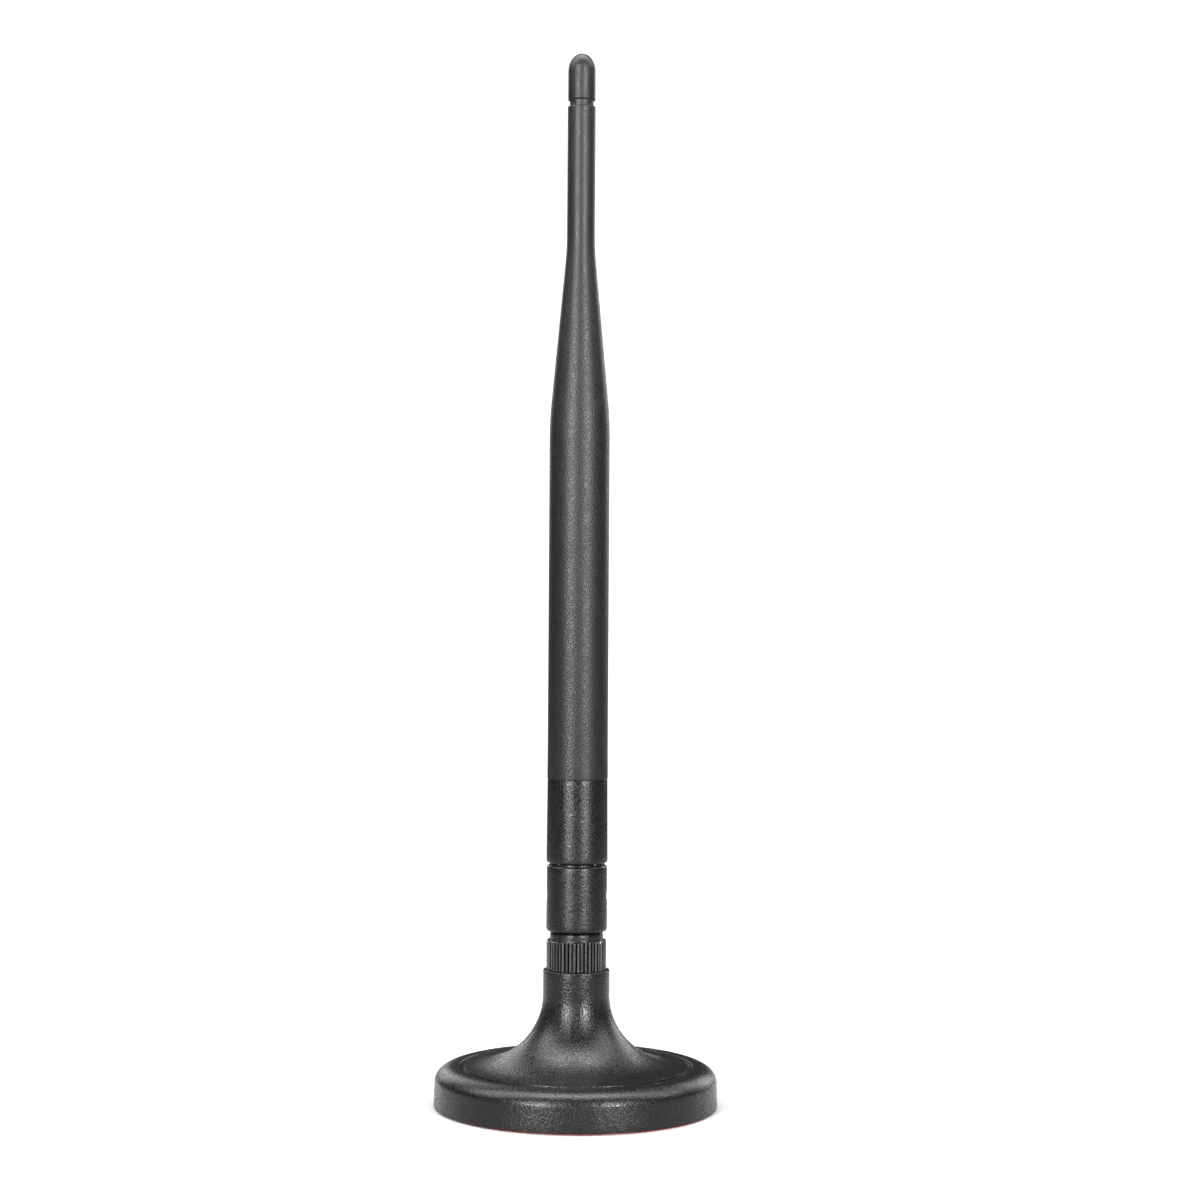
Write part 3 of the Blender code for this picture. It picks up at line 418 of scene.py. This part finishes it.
def plain_insulator(name, colour, roughness):
    """Turned PTFE or polyethylene: waxy, with faint clouds and tool marks."""
    surface = Surface(name, roughness)
    shade = surface.spread(surface.noise(2.5, detail=4.0), 0.0, 1.0)
    surface.colour(surface.mix(shade, tinted(colour, 0.92), colour))
    surface.rough(surface.spread(surface.noise(0.9), roughness - 0.06, roughness + 0.08))
    turned = surface.stretched(0.4, 0.4, 5.0)
    surface.bump(surface.noise(0.5, place=turned), 0.003)
    surface.shader.inputs["Subsurface Weight"].default_value = 0.1
    surface.shader.inputs["Subsurface Scale"].default_value = 0.4 * MM
    return surface.material


def soft_sheet(name, colour, roughness, grain, depth):
    """Foam or film: a little mottling and rounded pits of this grain and depth, in millimetres."""
    surface = Surface(name, roughness)
    shade = surface.spread(surface.noise(grain * 3, detail=5.0), 0.0, 1.0)
    surface.colour(surface.mix(shade, tinted(colour, 0.8), tinted(colour, 1.12)))
    surface.rough(surface.spread(surface.noise(grain * 4), roughness - 0.07, roughness + 0.07))
    surface.bump(surface.cells(grain), depth)
    return surface.material


BASE_COLOUR = (0.0038, 0.0045, 0.0041)
SHEATH_COLOUR = (0.0036, 0.0036, 0.0037)
HINGE_COLOUR = (0.0016, 0.0016, 0.0017)
NUT_COLOUR = (0.0012, 0.0012, 0.0013)

# Edge 6.0 paints the base's sharp edges much paler, a painted highlight along the stem's lip and the other
# edges.
base_look = moulded(
    "base_plastic_grain",
    BASE_COLOUR,
    roughness=0.27,
    grain=0.38,
    depth=0.026,
    specular=0.25,
    edge=6.0,
    speckle=0.14,
)
sheath_look = moulded(
    "sheath_grain",
    SHEATH_COLOUR,
    roughness=0.43,
    grain=0.36,
    depth=0.022,
    specular=0.27,
    speckle=0.08,
)
hinge_look = moulded(
    "hinge_plastic_grain",
    HINGE_COLOUR,
    roughness=0.31,
    grain=0.36,
    depth=0.022,
    specular=0.29,
    speckle=0.12,
)
nut_look = moulded(
    "nut_plastic_grain",
    NUT_COLOUR,
    roughness=0.2,
    grain=0.5,
    depth=0.002,
    specular=0.8,
)
cover_look = moulded("cover_plastic_grain", (0.022, 0.022, 0.022), 0.5, 0.4, 0.012)
rubber_look = moulded("black_rubber_grain", (0.016, 0.016, 0.016), 0.62, 0.3, 0.008)
brass_look = metal("turned_brass", (0.78, 0.57, 0.25), 0.28)
gold_look = metal("gold_plated", (0.95, 0.7, 0.3), 0.2)
steel_look = metal("zinc_plated_steel", (0.6, 0.61, 0.63), 0.32)
copper_look = metal("bare_copper", (0.78, 0.4, 0.24), 0.3)
ferrite_look = moulded("sintered_ferrite", (0.03, 0.03, 0.033), 0.6, 0.25, 0.012)
white_look = plain_insulator("white_insulator_clouds", (0.82, 0.82, 0.8), 0.42)
coax_look = plain_insulator("coax_jacket_clouds", (0.36, 0.2, 0.09), 0.38)
foam_look = soft_sheet("grey_foam_cells", (0.09, 0.09, 0.09), 0.9, 0.35, 0.05)
film_look = soft_sheet("red_film_mottle", (0.16, 0.01, 0.009), 0.38, 1.2, 0.01)


def finish_piece(piece, body, slot, look, *nodes):
    """Gives the piece its material and its body, and hides the CAD nodes that it stands for. The slot is
    not used.
    """
    piece.data.materials.clear()
    piece.data.materials.append(look)
    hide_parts(*nodes)
    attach(piece, body)
    return piece


# ---------------------------------------------------------------- base


shell_low, shell_high = span("base_shell")
plate_high = span("base_plate")[1]
grommet_low, grommet_high = span("cable_grommet")
foot_radius = shell_high.x
stem_top = shell_high.z
shell_bottom = shell_low.z
plate_top = plate_high.z
outlet_z = (grommet_low.z + grommet_high.z) / 2

BASE_RADIUS = 30.0
RIM_TOP = 8.6
SHOULDER_WIDTH = 4.2
SHOULDER_HEIGHT = 3.2
GROOVE_OUTER = 24.9
GROOVE_INNER = 23.7
GROOVE_DEPTH = 0.45
GROOVE_SLOT = 0.5
GROOVE_SHELF = 0.16
STEM_RADIUS = 7.08
STEM_BORE = STEM_RADIUS - 1.9
TRUMPET_TOP = 23.75
WALL = 2.0
SOCKET_RADIUS = 4.9
JACK_BORE = 3.25
JACK_BELOW_WEB = 8.4
OUTLET_RECESS_RADIUS = 2.5
OUTLET_RECESS_DEPTH = 0.85
OUTLET_HOLE_RADIUS = 1.85
BASE_STEPS = 288


def base_moulding():
    """The base and its stem: outside down over the trumpet, the groove and the rim, then up the inside."""
    trumpet_centre = (GROOVE_INNER, TRUMPET_TOP)
    lip = RIM_TOP - 0.03
    trumpet_height = TRUMPET_TOP - lip
    slot_floor = RIM_TOP - GROOVE_DEPTH
    slot_outer = GROOVE_INNER + GROOVE_SLOT
    shelf = RIM_TOP - GROOVE_SHELF
    shoulder = (BASE_RADIUS - SHOULDER_WIDTH, RIM_TOP - SHOULDER_HEIGHT)
    inside_width = GROOVE_INNER - STEM_BORE
    inside_height = TRUMPET_TOP - RIM_TOP + WALL
    web_top = span("jack_body")[0].z + JACK_BELOW_WEB
    web_bottom = span("jack_washer")[1].z + 0.05
    plate_seat = plate_high.x + 0.25
    seat_top = plate_top + 0.05
    inner_wall = BASE_RADIUS - 2.1
    corners = [(SOCKET_RADIUS, stem_top, 0.12), (STEM_RADIUS, stem_top, 0.2)]
    corners += ellipse_quarter(trumpet_centre, GROOVE_INNER - STEM_RADIUS, trumpet_height, 180, 268, 36)
    corners += [(GROOVE_INNER, lip, 0.04), (GROOVE_INNER + 0.04, slot_floor, 0.05)]
    corners += [(slot_outer, slot_floor, 0.05), (slot_outer + 0.06, shelf, 0.05)]
    corners += [(GROOVE_OUTER - 0.08, shelf, 0.05), (GROOVE_OUTER, RIM_TOP, 0.06)]
    corners += ellipse_quarter(shoulder, SHOULDER_WIDTH, SHOULDER_HEIGHT, 88, 0, 20)
    corners += [(foot_radius, shell_bottom, 0.12), (plate_seat, shell_bottom, 0.1)]
    corners += [(plate_seat, seat_top, 0.0), (inner_wall - 0.3, seat_top, 0.0)]
    corners += [(inner_wall, plate_top + 0.5, 0.0), (inner_wall, RIM_TOP - WALL, 0.0)]
    corners += ellipse_quarter(trumpet_centre, inside_width, inside_height, 270, 180, 16)
    corners += [(STEM_BORE, web_bottom, 0.0), (JACK_BORE, web_bottom, 0.0)]
    corners += [(JACK_BORE, web_top, 0.0), (SOCKET_RADIUS, web_top, 0.0)]
    outline = divided(rounded(corners), 1.5)
    shell = lathe("base_moulding", outline, BASE_STEPS)
    recess_start = (0, BASE_RADIUS - OUTLET_RECESS_DEPTH, outlet_z)
    outside = (0, BASE_RADIUS + 3, outlet_z)
    inside = (0, BASE_RADIUS - 4, outlet_z)
    apply_boolean(shell, cylinder_cutter(OUTLET_RECESS_RADIUS, recess_start, outside), "DIFFERENCE")
    apply_boolean(shell, cylinder_cutter(OUTLET_HOLE_RADIUS, inside, outside), "DIFFERENCE")
    shade_smoothly(shell.data)
    return finish_piece(shell, "base", "base_plastic", base_look, "base_shell")


def peel_off_film():
    """A disc a little smaller than its node, so that it can sit off centre inside the node's box."""
    low, high = span("release_liner")
    radius = high.y - 0.7
    fillet = (high.z - low.z) / 2 * 0.9
    corners = [(0.0, high.z, 0.0), (radius, high.z, fillet), (radius, low.z, fillet), (0.0, low.z, 0.0)]
    film = lathe("peel_off_film", rounded(corners, 3), BASE_STEPS, on_axis=True)
    stuck_off_centre = Vector((0.3, -0.4, 0)) * MM
    film.data.transform(Matrix.Translation(stuck_off_centre))
    return finish_piece(film, "base", "red_film", film_look, "release_liner")


def outlet_grommet():
    """Turned about Z and then laid along Y: a flange outside, a neck through the wall and a lip inside."""
    outside = grommet_high.y
    inside = grommet_low.y
    flange = 2.4
    flange_back = outside - 0.6
    neck = 1.8
    lip = neck + 0.3
    bore = 1.5
    corners = [
        (flange, outside, 0.3),
        (flange, flange_back, 0.12),
        (neck, flange_back, 0.0),
        (neck, inside + 1.0, 0.0),
        (lip, inside + 0.9, 0.1),
        (neck, inside, 0.15),
        (bore, inside, 0.1),
        (bore, outside - 0.5, 0.0),
        (bore + 0.25, outside, 0.15),
    ]
    grommet = lathe("outlet_grommet", rounded(corners), 72)
    place = Matrix.Translation((0, 0, outlet_z * MM)) @ Matrix.Rotation(-math.pi / 2, 4, "X")
    grommet.data.transform(place)
    return finish_piece(grommet, "base", "black_rubber", rubber_look, "cable_grommet")


# ---------------------------------------------------------------- threads and the coupling nut


THREAD_PITCH = 0.7056
KNURLS = 48
KNURL_HEIGHT = 6.2
KNURL_DEPTH = 0.36
NUT_BORE = 3.15


def thread_wave(height, angle):
    """0 at the root and 1 at the crest of a right-hand thread, with small flats."""
    turn = (height / THREAD_PITCH - angle / (2 * math.pi)) % 1.0
    sharp_crest = 1.35
    flank_slope = 3.4
    return min(1.0, max(0.0, sharp_crest - abs(turn - 0.5) * flank_slope))


def hexagon_reach(across, angle, from_end):
    """How far a hexagon reaches at an angle, with its corners turned off near its two ends."""
    side = (angle + math.pi / 6) % (math.pi / 3) - math.pi / 6
    reach = across / 2 / math.cos(side)
    chamfer = 0.35
    if from_end >= chamfer:
        return reach
    turned_off = across / 2 + 0.12 + from_end * 2.2
    return min(reach, turned_off)


def threaded_jack():
    """The jack's threaded barrel with its hexagon flange, turned as one piece."""
    low, high = span("jack_body")
    thread = 3.1
    depth = 0.3
    lead_in = 0.5
    chamfer = 0.35
    tail = 2.2
    wire_hole = 1.1
    across = 8.0
    hexagon = across / 2 / math.cos(math.pi / 6)
    thread_bottom = low.z + 2.0
    flange_top = stem_top - 0.15
    flange_bottom = flange_top - 1.95
    bore = 2.1
    bore_bottom = thread_bottom + 0.4
    mouth = high.z - 2.0
    mouth_bore = 2.35
    corners = [
        (thread, high.z, 0.0),
        (thread, flange_top, 0.0),
        (hexagon, flange_top, 0.0),
        (hexagon, flange_bottom, 0.0),
        (thread, flange_bottom, 0.0),
        (thread, thread_bottom, 0.0),
        (tail, thread_bottom, 0.0),
        (tail, low.z, 0.1),
        (wire_hole, low.z, 0.1),
        (wire_hole, bore_bottom, 0.0),
        (bore, bore_bottom, 0.0),
        (bore, mouth, 0.0),
        (mouth_bore, mouth, 0.0),
        (mouth_bore, high.z - 0.15, 0.0),
        (mouth_bore + 0.15, high.z, 0.0),
    ]

    def shape(radius, height, angle):
        """The hexagon outside the thread's radius, the thread on it, and plain turning inside it."""
        from_top = high.z - height
        from_bottom = height - thread_bottom
        if radius > hexagon - 0.01:
            return hexagon_reach(across, angle, min(flange_top - height, height - flange_bottom))
        if radius > thread + 0.01:
            share = (radius - thread) / (hexagon - thread)
            return thread + share * (hexagon_reach(across, angle, 0.0) - thread)
        if radius < thread - 0.01:
            return radius
        lead = max(0.0, min(from_top / lead_in, from_bottom / lead_in, 1.0))
        turned_off = max(0.0, chamfer - from_top) + max(0.0, chamfer - from_bottom)
        return thread - depth * (1 - thread_wave(height, angle) * lead) - turned_off * 0.4

    jack = lathe("threaded_jack", divided(rounded(corners), THREAD_PITCH / 8), 144, shape)
    return finish_piece(jack, "base", "brass", brass_look, "jack_body")


def knurled_nut():
    """The coupling nut's shell: crowned ridges that lean unevenly, under a smooth shoulder."""
    low, high = span("knurled_shell")
    outer = high.x
    bottom = low.z
    knurl_top = bottom + KNURL_HEIGHT
    shoulder = 5.65
    insert_high = span("nut_insert")[1]
    insert_seat = insert_high.z + 0.05
    seat_radius = insert_high.x + 0.05
    crowning = 0.07
    lean = 0.15
    corners = [
        (shoulder, high.z, 0.35),
        (shoulder, knurl_top, 0.12),
        (outer - 0.08, knurl_top, 0.0),
        (outer, knurl_top - 0.08, 0.0),
        (outer, bottom + 0.08, 0.0),
        (outer - 0.08, bottom, 0.0),
        (seat_radius, bottom, 0.1),
        (seat_radius, insert_seat, 0.0),
        (NUT_BORE, insert_seat, 0.0),
        (NUT_BORE, high.z, 0.15),
    ]

    def shape(radius, height, angle):
        """The knurl's ridges on the outside: across runs from -1 to 1 over a ridge and its two grooves."""
        if radius < outer - 0.1:
            return radius
        turned = angle / (2 * math.pi) * KNURLS
        ridge = math.floor(turned)
        across = (turned % 1.0 - 0.5) * 2
        groove = min(1.0, max(0.0, (abs(across) - 0.55) / 0.25))
        uneven = lean * math.sin(ridge * 2.4) * across
        return radius - lean - crowning * across**2 - uneven - KNURL_DEPTH * groove

    nut = lathe("knurled_nut", divided(rounded(corners), 0.5), KNURLS * 16, shape)
    finish_piece(nut, "coupling_nut", "dark_plastic", nut_look, "knurled_shell")
    nut.data.materials.append(hinge_look)
    for face in nut.data.polygons:
        if face.center.z / MM > knurl_top:
            face.material_index = 1
    return nut


def threaded_insert():
    """The brass bush in the nut, with its thread inside and a thin web at its top."""
    low, high = span("nut_insert")
    outer = high.x
    crest = 3.15
    depth = 0.28
    web = high.z - 0.5
    web_bore = 3.0
    run_out = 0.6
    corners = [
        (outer, high.z, 0.15),
        (outer, low.z, 0.15),
        (crest + 0.5, low.z, 0.0),
        (crest, low.z + 0.4, 0.0),
        (crest, web, 0.0),
        (web_bore, web, 0.0),
        (web_bore, high.z, 0.0),
    ]

    def shape(radius, height, angle):
        """The thread on the bore, fading out under the web."""
        if abs(radius - crest) > 0.02 or not low.z + 0.3 < height < web - 0.02:
            return radius
        lead = min(1.0, (web - height) / run_out)
        return crest + depth * (1 - thread_wave(height, angle)) * lead

    insert = lathe("threaded_insert", divided(rounded(corners), THREAD_PITCH / 8), 72, shape)
    return finish_piece(insert, "coupling_nut", "brass", brass_look, "nut_insert")


# ---------------------------------------------------------------- hinge


knuckle_low, knuckle_high = span("knuckle_body")
collar_low, collar_high = span("whip_collar")
sheath_low, sheath_high = span("whip_sheath")
tilt = [joint for joint in frame["joints"] if joint["name"] == "tilt"][0]
pivot_z = tilt["pos_m"][2] / MM
collar_bottom = knuckle_high.z + 0.15
lug_radius = pivot_z - collar_low.z

HINGE_STEPS = 160
ARC_PIECES = 32
PIN_BORE = 1.27
FORK_SLOT_HALF = 3.95
LUG_OUTSIDE = 3.75
LUG_INSIDE = 1.7
CUT_BACK = 9.0
CUT_SIDE = 8.0
CUT_ABOVE = 2.0


def pin_hole():
    """A cutter for the pins' hole, right through the hinge."""
    return cylinder_cutter(PIN_BORE, (-CUT_SIDE, 0, pivot_z), (CUT_SIDE, 0, pivot_z))


def knuckle_fork():
    """Open at the top and the back, where the whip folds, with a plain wall across its front."""
    flange = span("connector_body")[1].x + 0.2
    recess_top = span("friction_ring")[1].z + 0.05
    slot_floor = span("swivel_clip")[0].z - 0.1
    crown = 5.8
    shoulder = 51.3
    head = 6.38
    bore = 3.2
    corners = [
        (crown, knuckle_high.z, 0.06),
        (crown, shoulder, 0.0),
        (head, shoulder, 0.5),
        (knuckle_high.x, knuckle_low.z, 0.62),
        (flange, knuckle_low.z, 0.1),
        (flange, recess_top, 0.0),
        (bore, recess_top, 0.0),
        (bore, knuckle_high.z, 0.0),
    ]
    knuckle = lathe("knuckle_fork", divided(rounded(corners, 6), 1.2), HINGE_STEPS)
    above = knuckle_high.z + CUT_ABOVE
    slot_front = -(lug_radius + 0.06)
    slot = box_cutter((-FORK_SLOT_HALF, slot_front, slot_floor), (FORK_SLOT_HALF, CUT_BACK, above))
    apply_boolean(knuckle, slot, "DIFFERENCE")
    sweep = knuckle_high.z - pivot_z
    swept = [(CUT_BACK, pivot_z), (CUT_BACK, above), (0.0, above)]
    for step in range(ARC_PIECES + 1):
        angle = math.radians(90 - 90 * step / ARC_PIECES)
        swept.append((sweep * math.cos(angle), pivot_z + sweep * math.sin(angle)))
    apply_boolean(knuckle, slab(swept, -CUT_SIDE, CUT_SIDE), "DIFFERENCE")
    apply_boolean(knuckle, pin_hole(), "DIFFERENCE")
    shade_smoothly(knuckle.data)
    return finish_piece(knuckle, "knuckle", "dark_plastic", hinge_look, "knuckle_body")


def hinge_pin(side, node):
    """A half pin with a shallow dome on its outer end."""
    low, high = span(node)
    inner = min(abs(low.x), abs(high.x))
    outer = max(abs(low.x), abs(high.x))
    radius = 1.2
    outline = [
        (0, outer),
        (radius - 0.7, outer - 0.03),
        (radius - 0.3, outer - 0.1),
        (radius - 0.1, outer - 0.2),
        (radius, outer - 0.38),
        (radius, inner + 0.15),
        (radius - 0.15, inner),
        (0, inner),
    ]
    pin = lathe(f"hinge_{node}", outline, 64, on_axis=True)
    turn = Matrix.Rotation(side * math.pi / 2, 4, "Y")
    pin.data.transform(Matrix.Translation((0, 0, pivot_z * MM)) @ turn)
    return finish_piece(pin, "knuckle", "steel", steel_look, node)


def collar_moulding():
    """The hinge's upper half: a spigot in the sheath, a short barrel and two lugs in the fork's slot."""
    spigot = 5.0
    bore = 1.4
    foot = 6.5
    head = 6.37
    seam = sheath_low.z - 0.05
    corners = [
        (spigot, collar_high.z, 0.5),
        (spigot, seam, 0.0),
        (head, seam, 0.06),
        (foot, collar_bottom, 0.55),
        (bore + 0.6, collar_bottom, 0.0),
        (bore, collar_bottom + 0.8, 0.0),
        (bore, collar_high.z, 0.0),
    ]
    collar = lathe("collar_moulding", divided(rounded(corners, 6), 1.2), HINGE_STEPS)
    lug_top = collar_bottom + 1.0
    lug = [(-lug_radius, lug_top)]
    for step in range(ARC_PIECES + 1):
        angle = math.radians(180 + 180 * step / ARC_PIECES)
        lug.append((lug_radius * math.cos(angle), pivot_z + lug_radius * math.sin(angle)))
    lug.append((lug_radius, lug_top))
    for low_x, high_x in ((-LUG_OUTSIDE, -LUG_INSIDE), (LUG_INSIDE, LUG_OUTSIDE)):
        apply_boolean(collar, slab(lug, low_x, high_x), "UNION")
    apply_boolean(collar, pin_hole(), "DIFFERENCE")
    shade_smoothly(collar.data)
    return finish_piece(collar, "whip", "dark_plastic", hinge_look, "whip_collar")


# ---------------------------------------------------------------- whip


def sheath_moulding():
    """A hollow barrel with a slight flare at its foot, narrowing in two wide curves to the thin mast."""
    mast = 2.98
    mast_foot = 182.2
    mast_bore = 1.6
    barrel = 6.39
    barrel_top = 145.8
    barrel_bore = 5.1
    flare = 6.44
    flare_height = 6.6
    corners = [
        (mast, sheath_high.z, 0.35),
        (mast, mast_foot, 64.0),
        (barrel, barrel_top, 86.0),
        (barrel, sheath_low.z + flare_height, 60.0),
        (flare, sheath_low.z, 0.1),
        (barrel_bore, sheath_low.z, 0.1),
        (barrel_bore, barrel_top, 0.0),
        (mast_bore, mast_foot + 4.0, 0.0),
        (mast_bore, sheath_high.z, 0.1),
    ]
    outline = divided(rounded(corners, 16), 4.0)
    sheath = lathe("sheath_moulding", outline, HINGE_STEPS)
    return finish_piece(sheath, "whip", "sheath_rubber", sheath_look, "whip_sheath")


def tip_plug():
    """A domed cap over a narrower neck, with a spigot down the mast's bore."""
    low, high = span("tip_cap")
    radius = high.x
    dome = 3.7
    edge = 213.8
    neck = 2.55
    spigot = 1.5
    spigot_top = sheath_high.z + 0.05
    outline = [(r, z) for r, z, _ in ellipse_quarter((0, high.z - dome), radius, dome, 90, 0, 20)]
    outline[0] = (0, high.z)
    outline += [
        (radius, edge + 0.25),
        (radius - 0.04, edge + 0.1),
        (radius - 0.14, edge),
        (neck + 0.1, edge),
        (neck, edge - 0.1),
        (neck, spigot_top),
        (spigot, spigot_top),
        (spigot, low.z + 0.4),
        (spigot - 0.3, low.z),
        (0, low.z),
    ]
    tip = lathe("tip_plug", outline, 96, on_axis=True)
    return finish_piece(tip, "whip", "sheath_rubber", sheath_look, "tip_cap")


def hinge_lead():
    """The stretch of coaxial lead through the hinge, where the whip folds."""
    low, high = span("coax_flex")
    radius = high.x
    corners = [(0, high.z), (radius, high.z), (radius, low.z), (0, low.z)]
    off_axis = [point for point in divided(corners, 0.25) if point[0] > 0]
    lead = lathe("hinge_lead", corners[:1] + off_axis + corners[-1:], 32, on_axis=True)
    lead.data.materials.append(coax_look)
    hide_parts("coax_flex")
    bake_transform(lead)
    return lead


# ---------------------------------------------------------------- pieces


base_moulding()
peel_off_film()
outlet_grommet()
threaded_jack()
knurled_nut()
threaded_insert()
knuckle_fork()
hinge_pin(-1, "pivot_pin_left")
hinge_pin(1, "pivot_pin_right")
collar_moulding()
sheath_moulding()
tip_plug()
hinge_lead()

CARRIED_OVER = {
    cover_look: ["base_plate"],
    foam_look: ["base_pad"],
    ferrite_look: ["magnet_ring"],
    steel_look: [
        "base_screw_1",
        "base_screw_2",
        "base_screw_3",
        "magnet_yoke",
        "jack_washer",
        "nut_retaining_ring",
        "swivel_clip",
    ],
    brass_look: ["jack_lock_nut", "connector_body", "choke_sleeve"],
    gold_look: ["jack_contact", "connector_contact"],
    copper_look: ["radiator_wire"],
    white_look: ["jack_insulator", "connector_insulator", "spacer_lower", "spacer_upper"],
    rubber_look: ["connector_gasket", "friction_ring"],
    coax_look: ["coax_feed"],
}
for look, names in CARRIED_OVER.items():
    for name in names:
        node = frame["nodes"][name]
        node.data.materials.clear()
        node.data.materials.append(look)
        shade_smoothly(node.data)


# ---------------------------------------------------------------- stage, light and camera


FLOOR_RADIUS = 0.42
FLOOR_GAP = 0.00002
FLOOR_GREY = 0.385
BACKDROP_BRIGHTNESS = 1.25
AMBIENT_BRIGHTNESS = 0.05


def floor():
    """A plain pale disc, lit so brightly that it melts into the backdrop."""
    shape = bmesh.new()
    bmesh.ops.create_circle(shape, cap_ends=True, segments=96, radius=FLOOR_RADIUS)
    mesh = bpy.data.meshes.new("floor")
    shape.to_mesh(mesh)
    shape.free()
    ground = bpy.data.objects.new("floor", mesh)
    ground.location.z = -FLOOR_GAP
    bpy.context.scene.collection.objects.link(ground)
    paint = bpy.data.materials.new("floor_white")
    paint.use_nodes = True
    shader = paint.node_tree.nodes["Principled BSDF"]
    shader.inputs["Base Color"].default_value = (FLOOR_GREY, FLOOR_GREY, FLOOR_GREY, 1)
    shader.inputs["Roughness"].default_value = 0.9
    shader.inputs["Specular IOR Level"].default_value = 0.0
    mesh.materials.append(paint)


def softbox(name, place, target, width, height, radiance, spread=180):
    """A rectangular soft light that the camera doesn't see, its spread in degrees."""
    light = bpy.data.lights.new(name, "AREA")
    light.shape = "RECTANGLE"
    light.size = width
    light.size_y = height
    light.energy = radiance * math.pi * width * height
    light.spread = math.radians(spread)
    lamp = bpy.data.objects.new(name, light)
    lamp.location = place
    lamp.rotation_mode = "QUATERNION"
    lamp.rotation_quaternion = (Vector(target) - Vector(place)).to_track_quat("-Z", "Y")
    lamp.visible_camera = False
    bpy.context.scene.collection.objects.link(lamp)


def studio():
    """White backdrop for the camera only, two strips in front, two panels above and two behind."""
    world = bpy.data.worlds.new("studio")
    world.use_nodes = True
    bpy.context.scene.world = world
    nodes = world.node_tree.nodes
    links = world.node_tree.links
    ambient = nodes["Background"]
    ambient.inputs["Color"].default_value = (1, 1, 1, 1)
    ambient.inputs["Strength"].default_value = AMBIENT_BRIGHTNESS
    seen = nodes.new("ShaderNodeBackground")
    seen.inputs["Strength"].default_value = BACKDROP_BRIGHTNESS
    seen.inputs["Color"].default_value = (1, 1, 1, 1)
    path = nodes.new("ShaderNodeLightPath")
    mixed = nodes.new("ShaderNodeMixShader")
    links.new(path.outputs["Is Camera Ray"], mixed.inputs["Fac"])
    links.new(ambient.outputs["Background"], mixed.inputs[1])
    links.new(seen.outputs["Background"], mixed.inputs[2])
    links.new(mixed.outputs["Shader"], nodes["World Output"].inputs["Surface"])
    softbox("strip_left", (-0.46, -0.80, 0.44), (0, 0, 0.44), 0.22, 0.80, 14.0, 90)
    softbox("strip_right", (0.475, -0.79, 0.42), (0, 0, 0.42), 0.20, 0.76, 13.6, 90)
    softbox("over_left", (-0.44, 0.1, 1.15), (0, 0.1, 0), 0.66, 1.9, 8.6)
    softbox("over_right", (0.47, 0.1, 1.15), (0, 0.1, 0), 0.66, 1.9, 6.4)
    softbox("back_left", (-0.60, 1.35, 0.60), (0, 0, 0.1), 0.7, 0.9, 2.4)
    softbox("back_right", (0.85, 1.15, 0.55), (0, 0, 0.1), 0.7, 0.9, 3.6)


def camera():
    """In front of the antenna at about half its height, and level but for a slight roll.

    View_width is how many millimetres the frame's width covers at the antenna's axis.
    """
    distance = 540.0
    view_width = 251.702
    aside = 2.72
    height = 109.4
    roll = math.radians(0.36)
    data = bpy.data.cameras.new("camera")
    data.sensor_width = 36.0
    data.lens = data.sensor_width * distance / view_width
    data.clip_start = 0.01
    data.clip_end = 50
    view = bpy.data.objects.new("camera", data)
    level = Matrix.Rotation(math.pi / 2, 4, "X") @ Matrix.Rotation(roll, 4, "Z")
    view.matrix_world = Matrix.Translation(Vector((aside, -distance, height)) * MM) @ level
    bpy.context.scene.collection.objects.link(view)
    bpy.context.scene.camera = view


floor()
studio()
camera()
bpy.context.scene.view_settings.view_transform = "Standard"
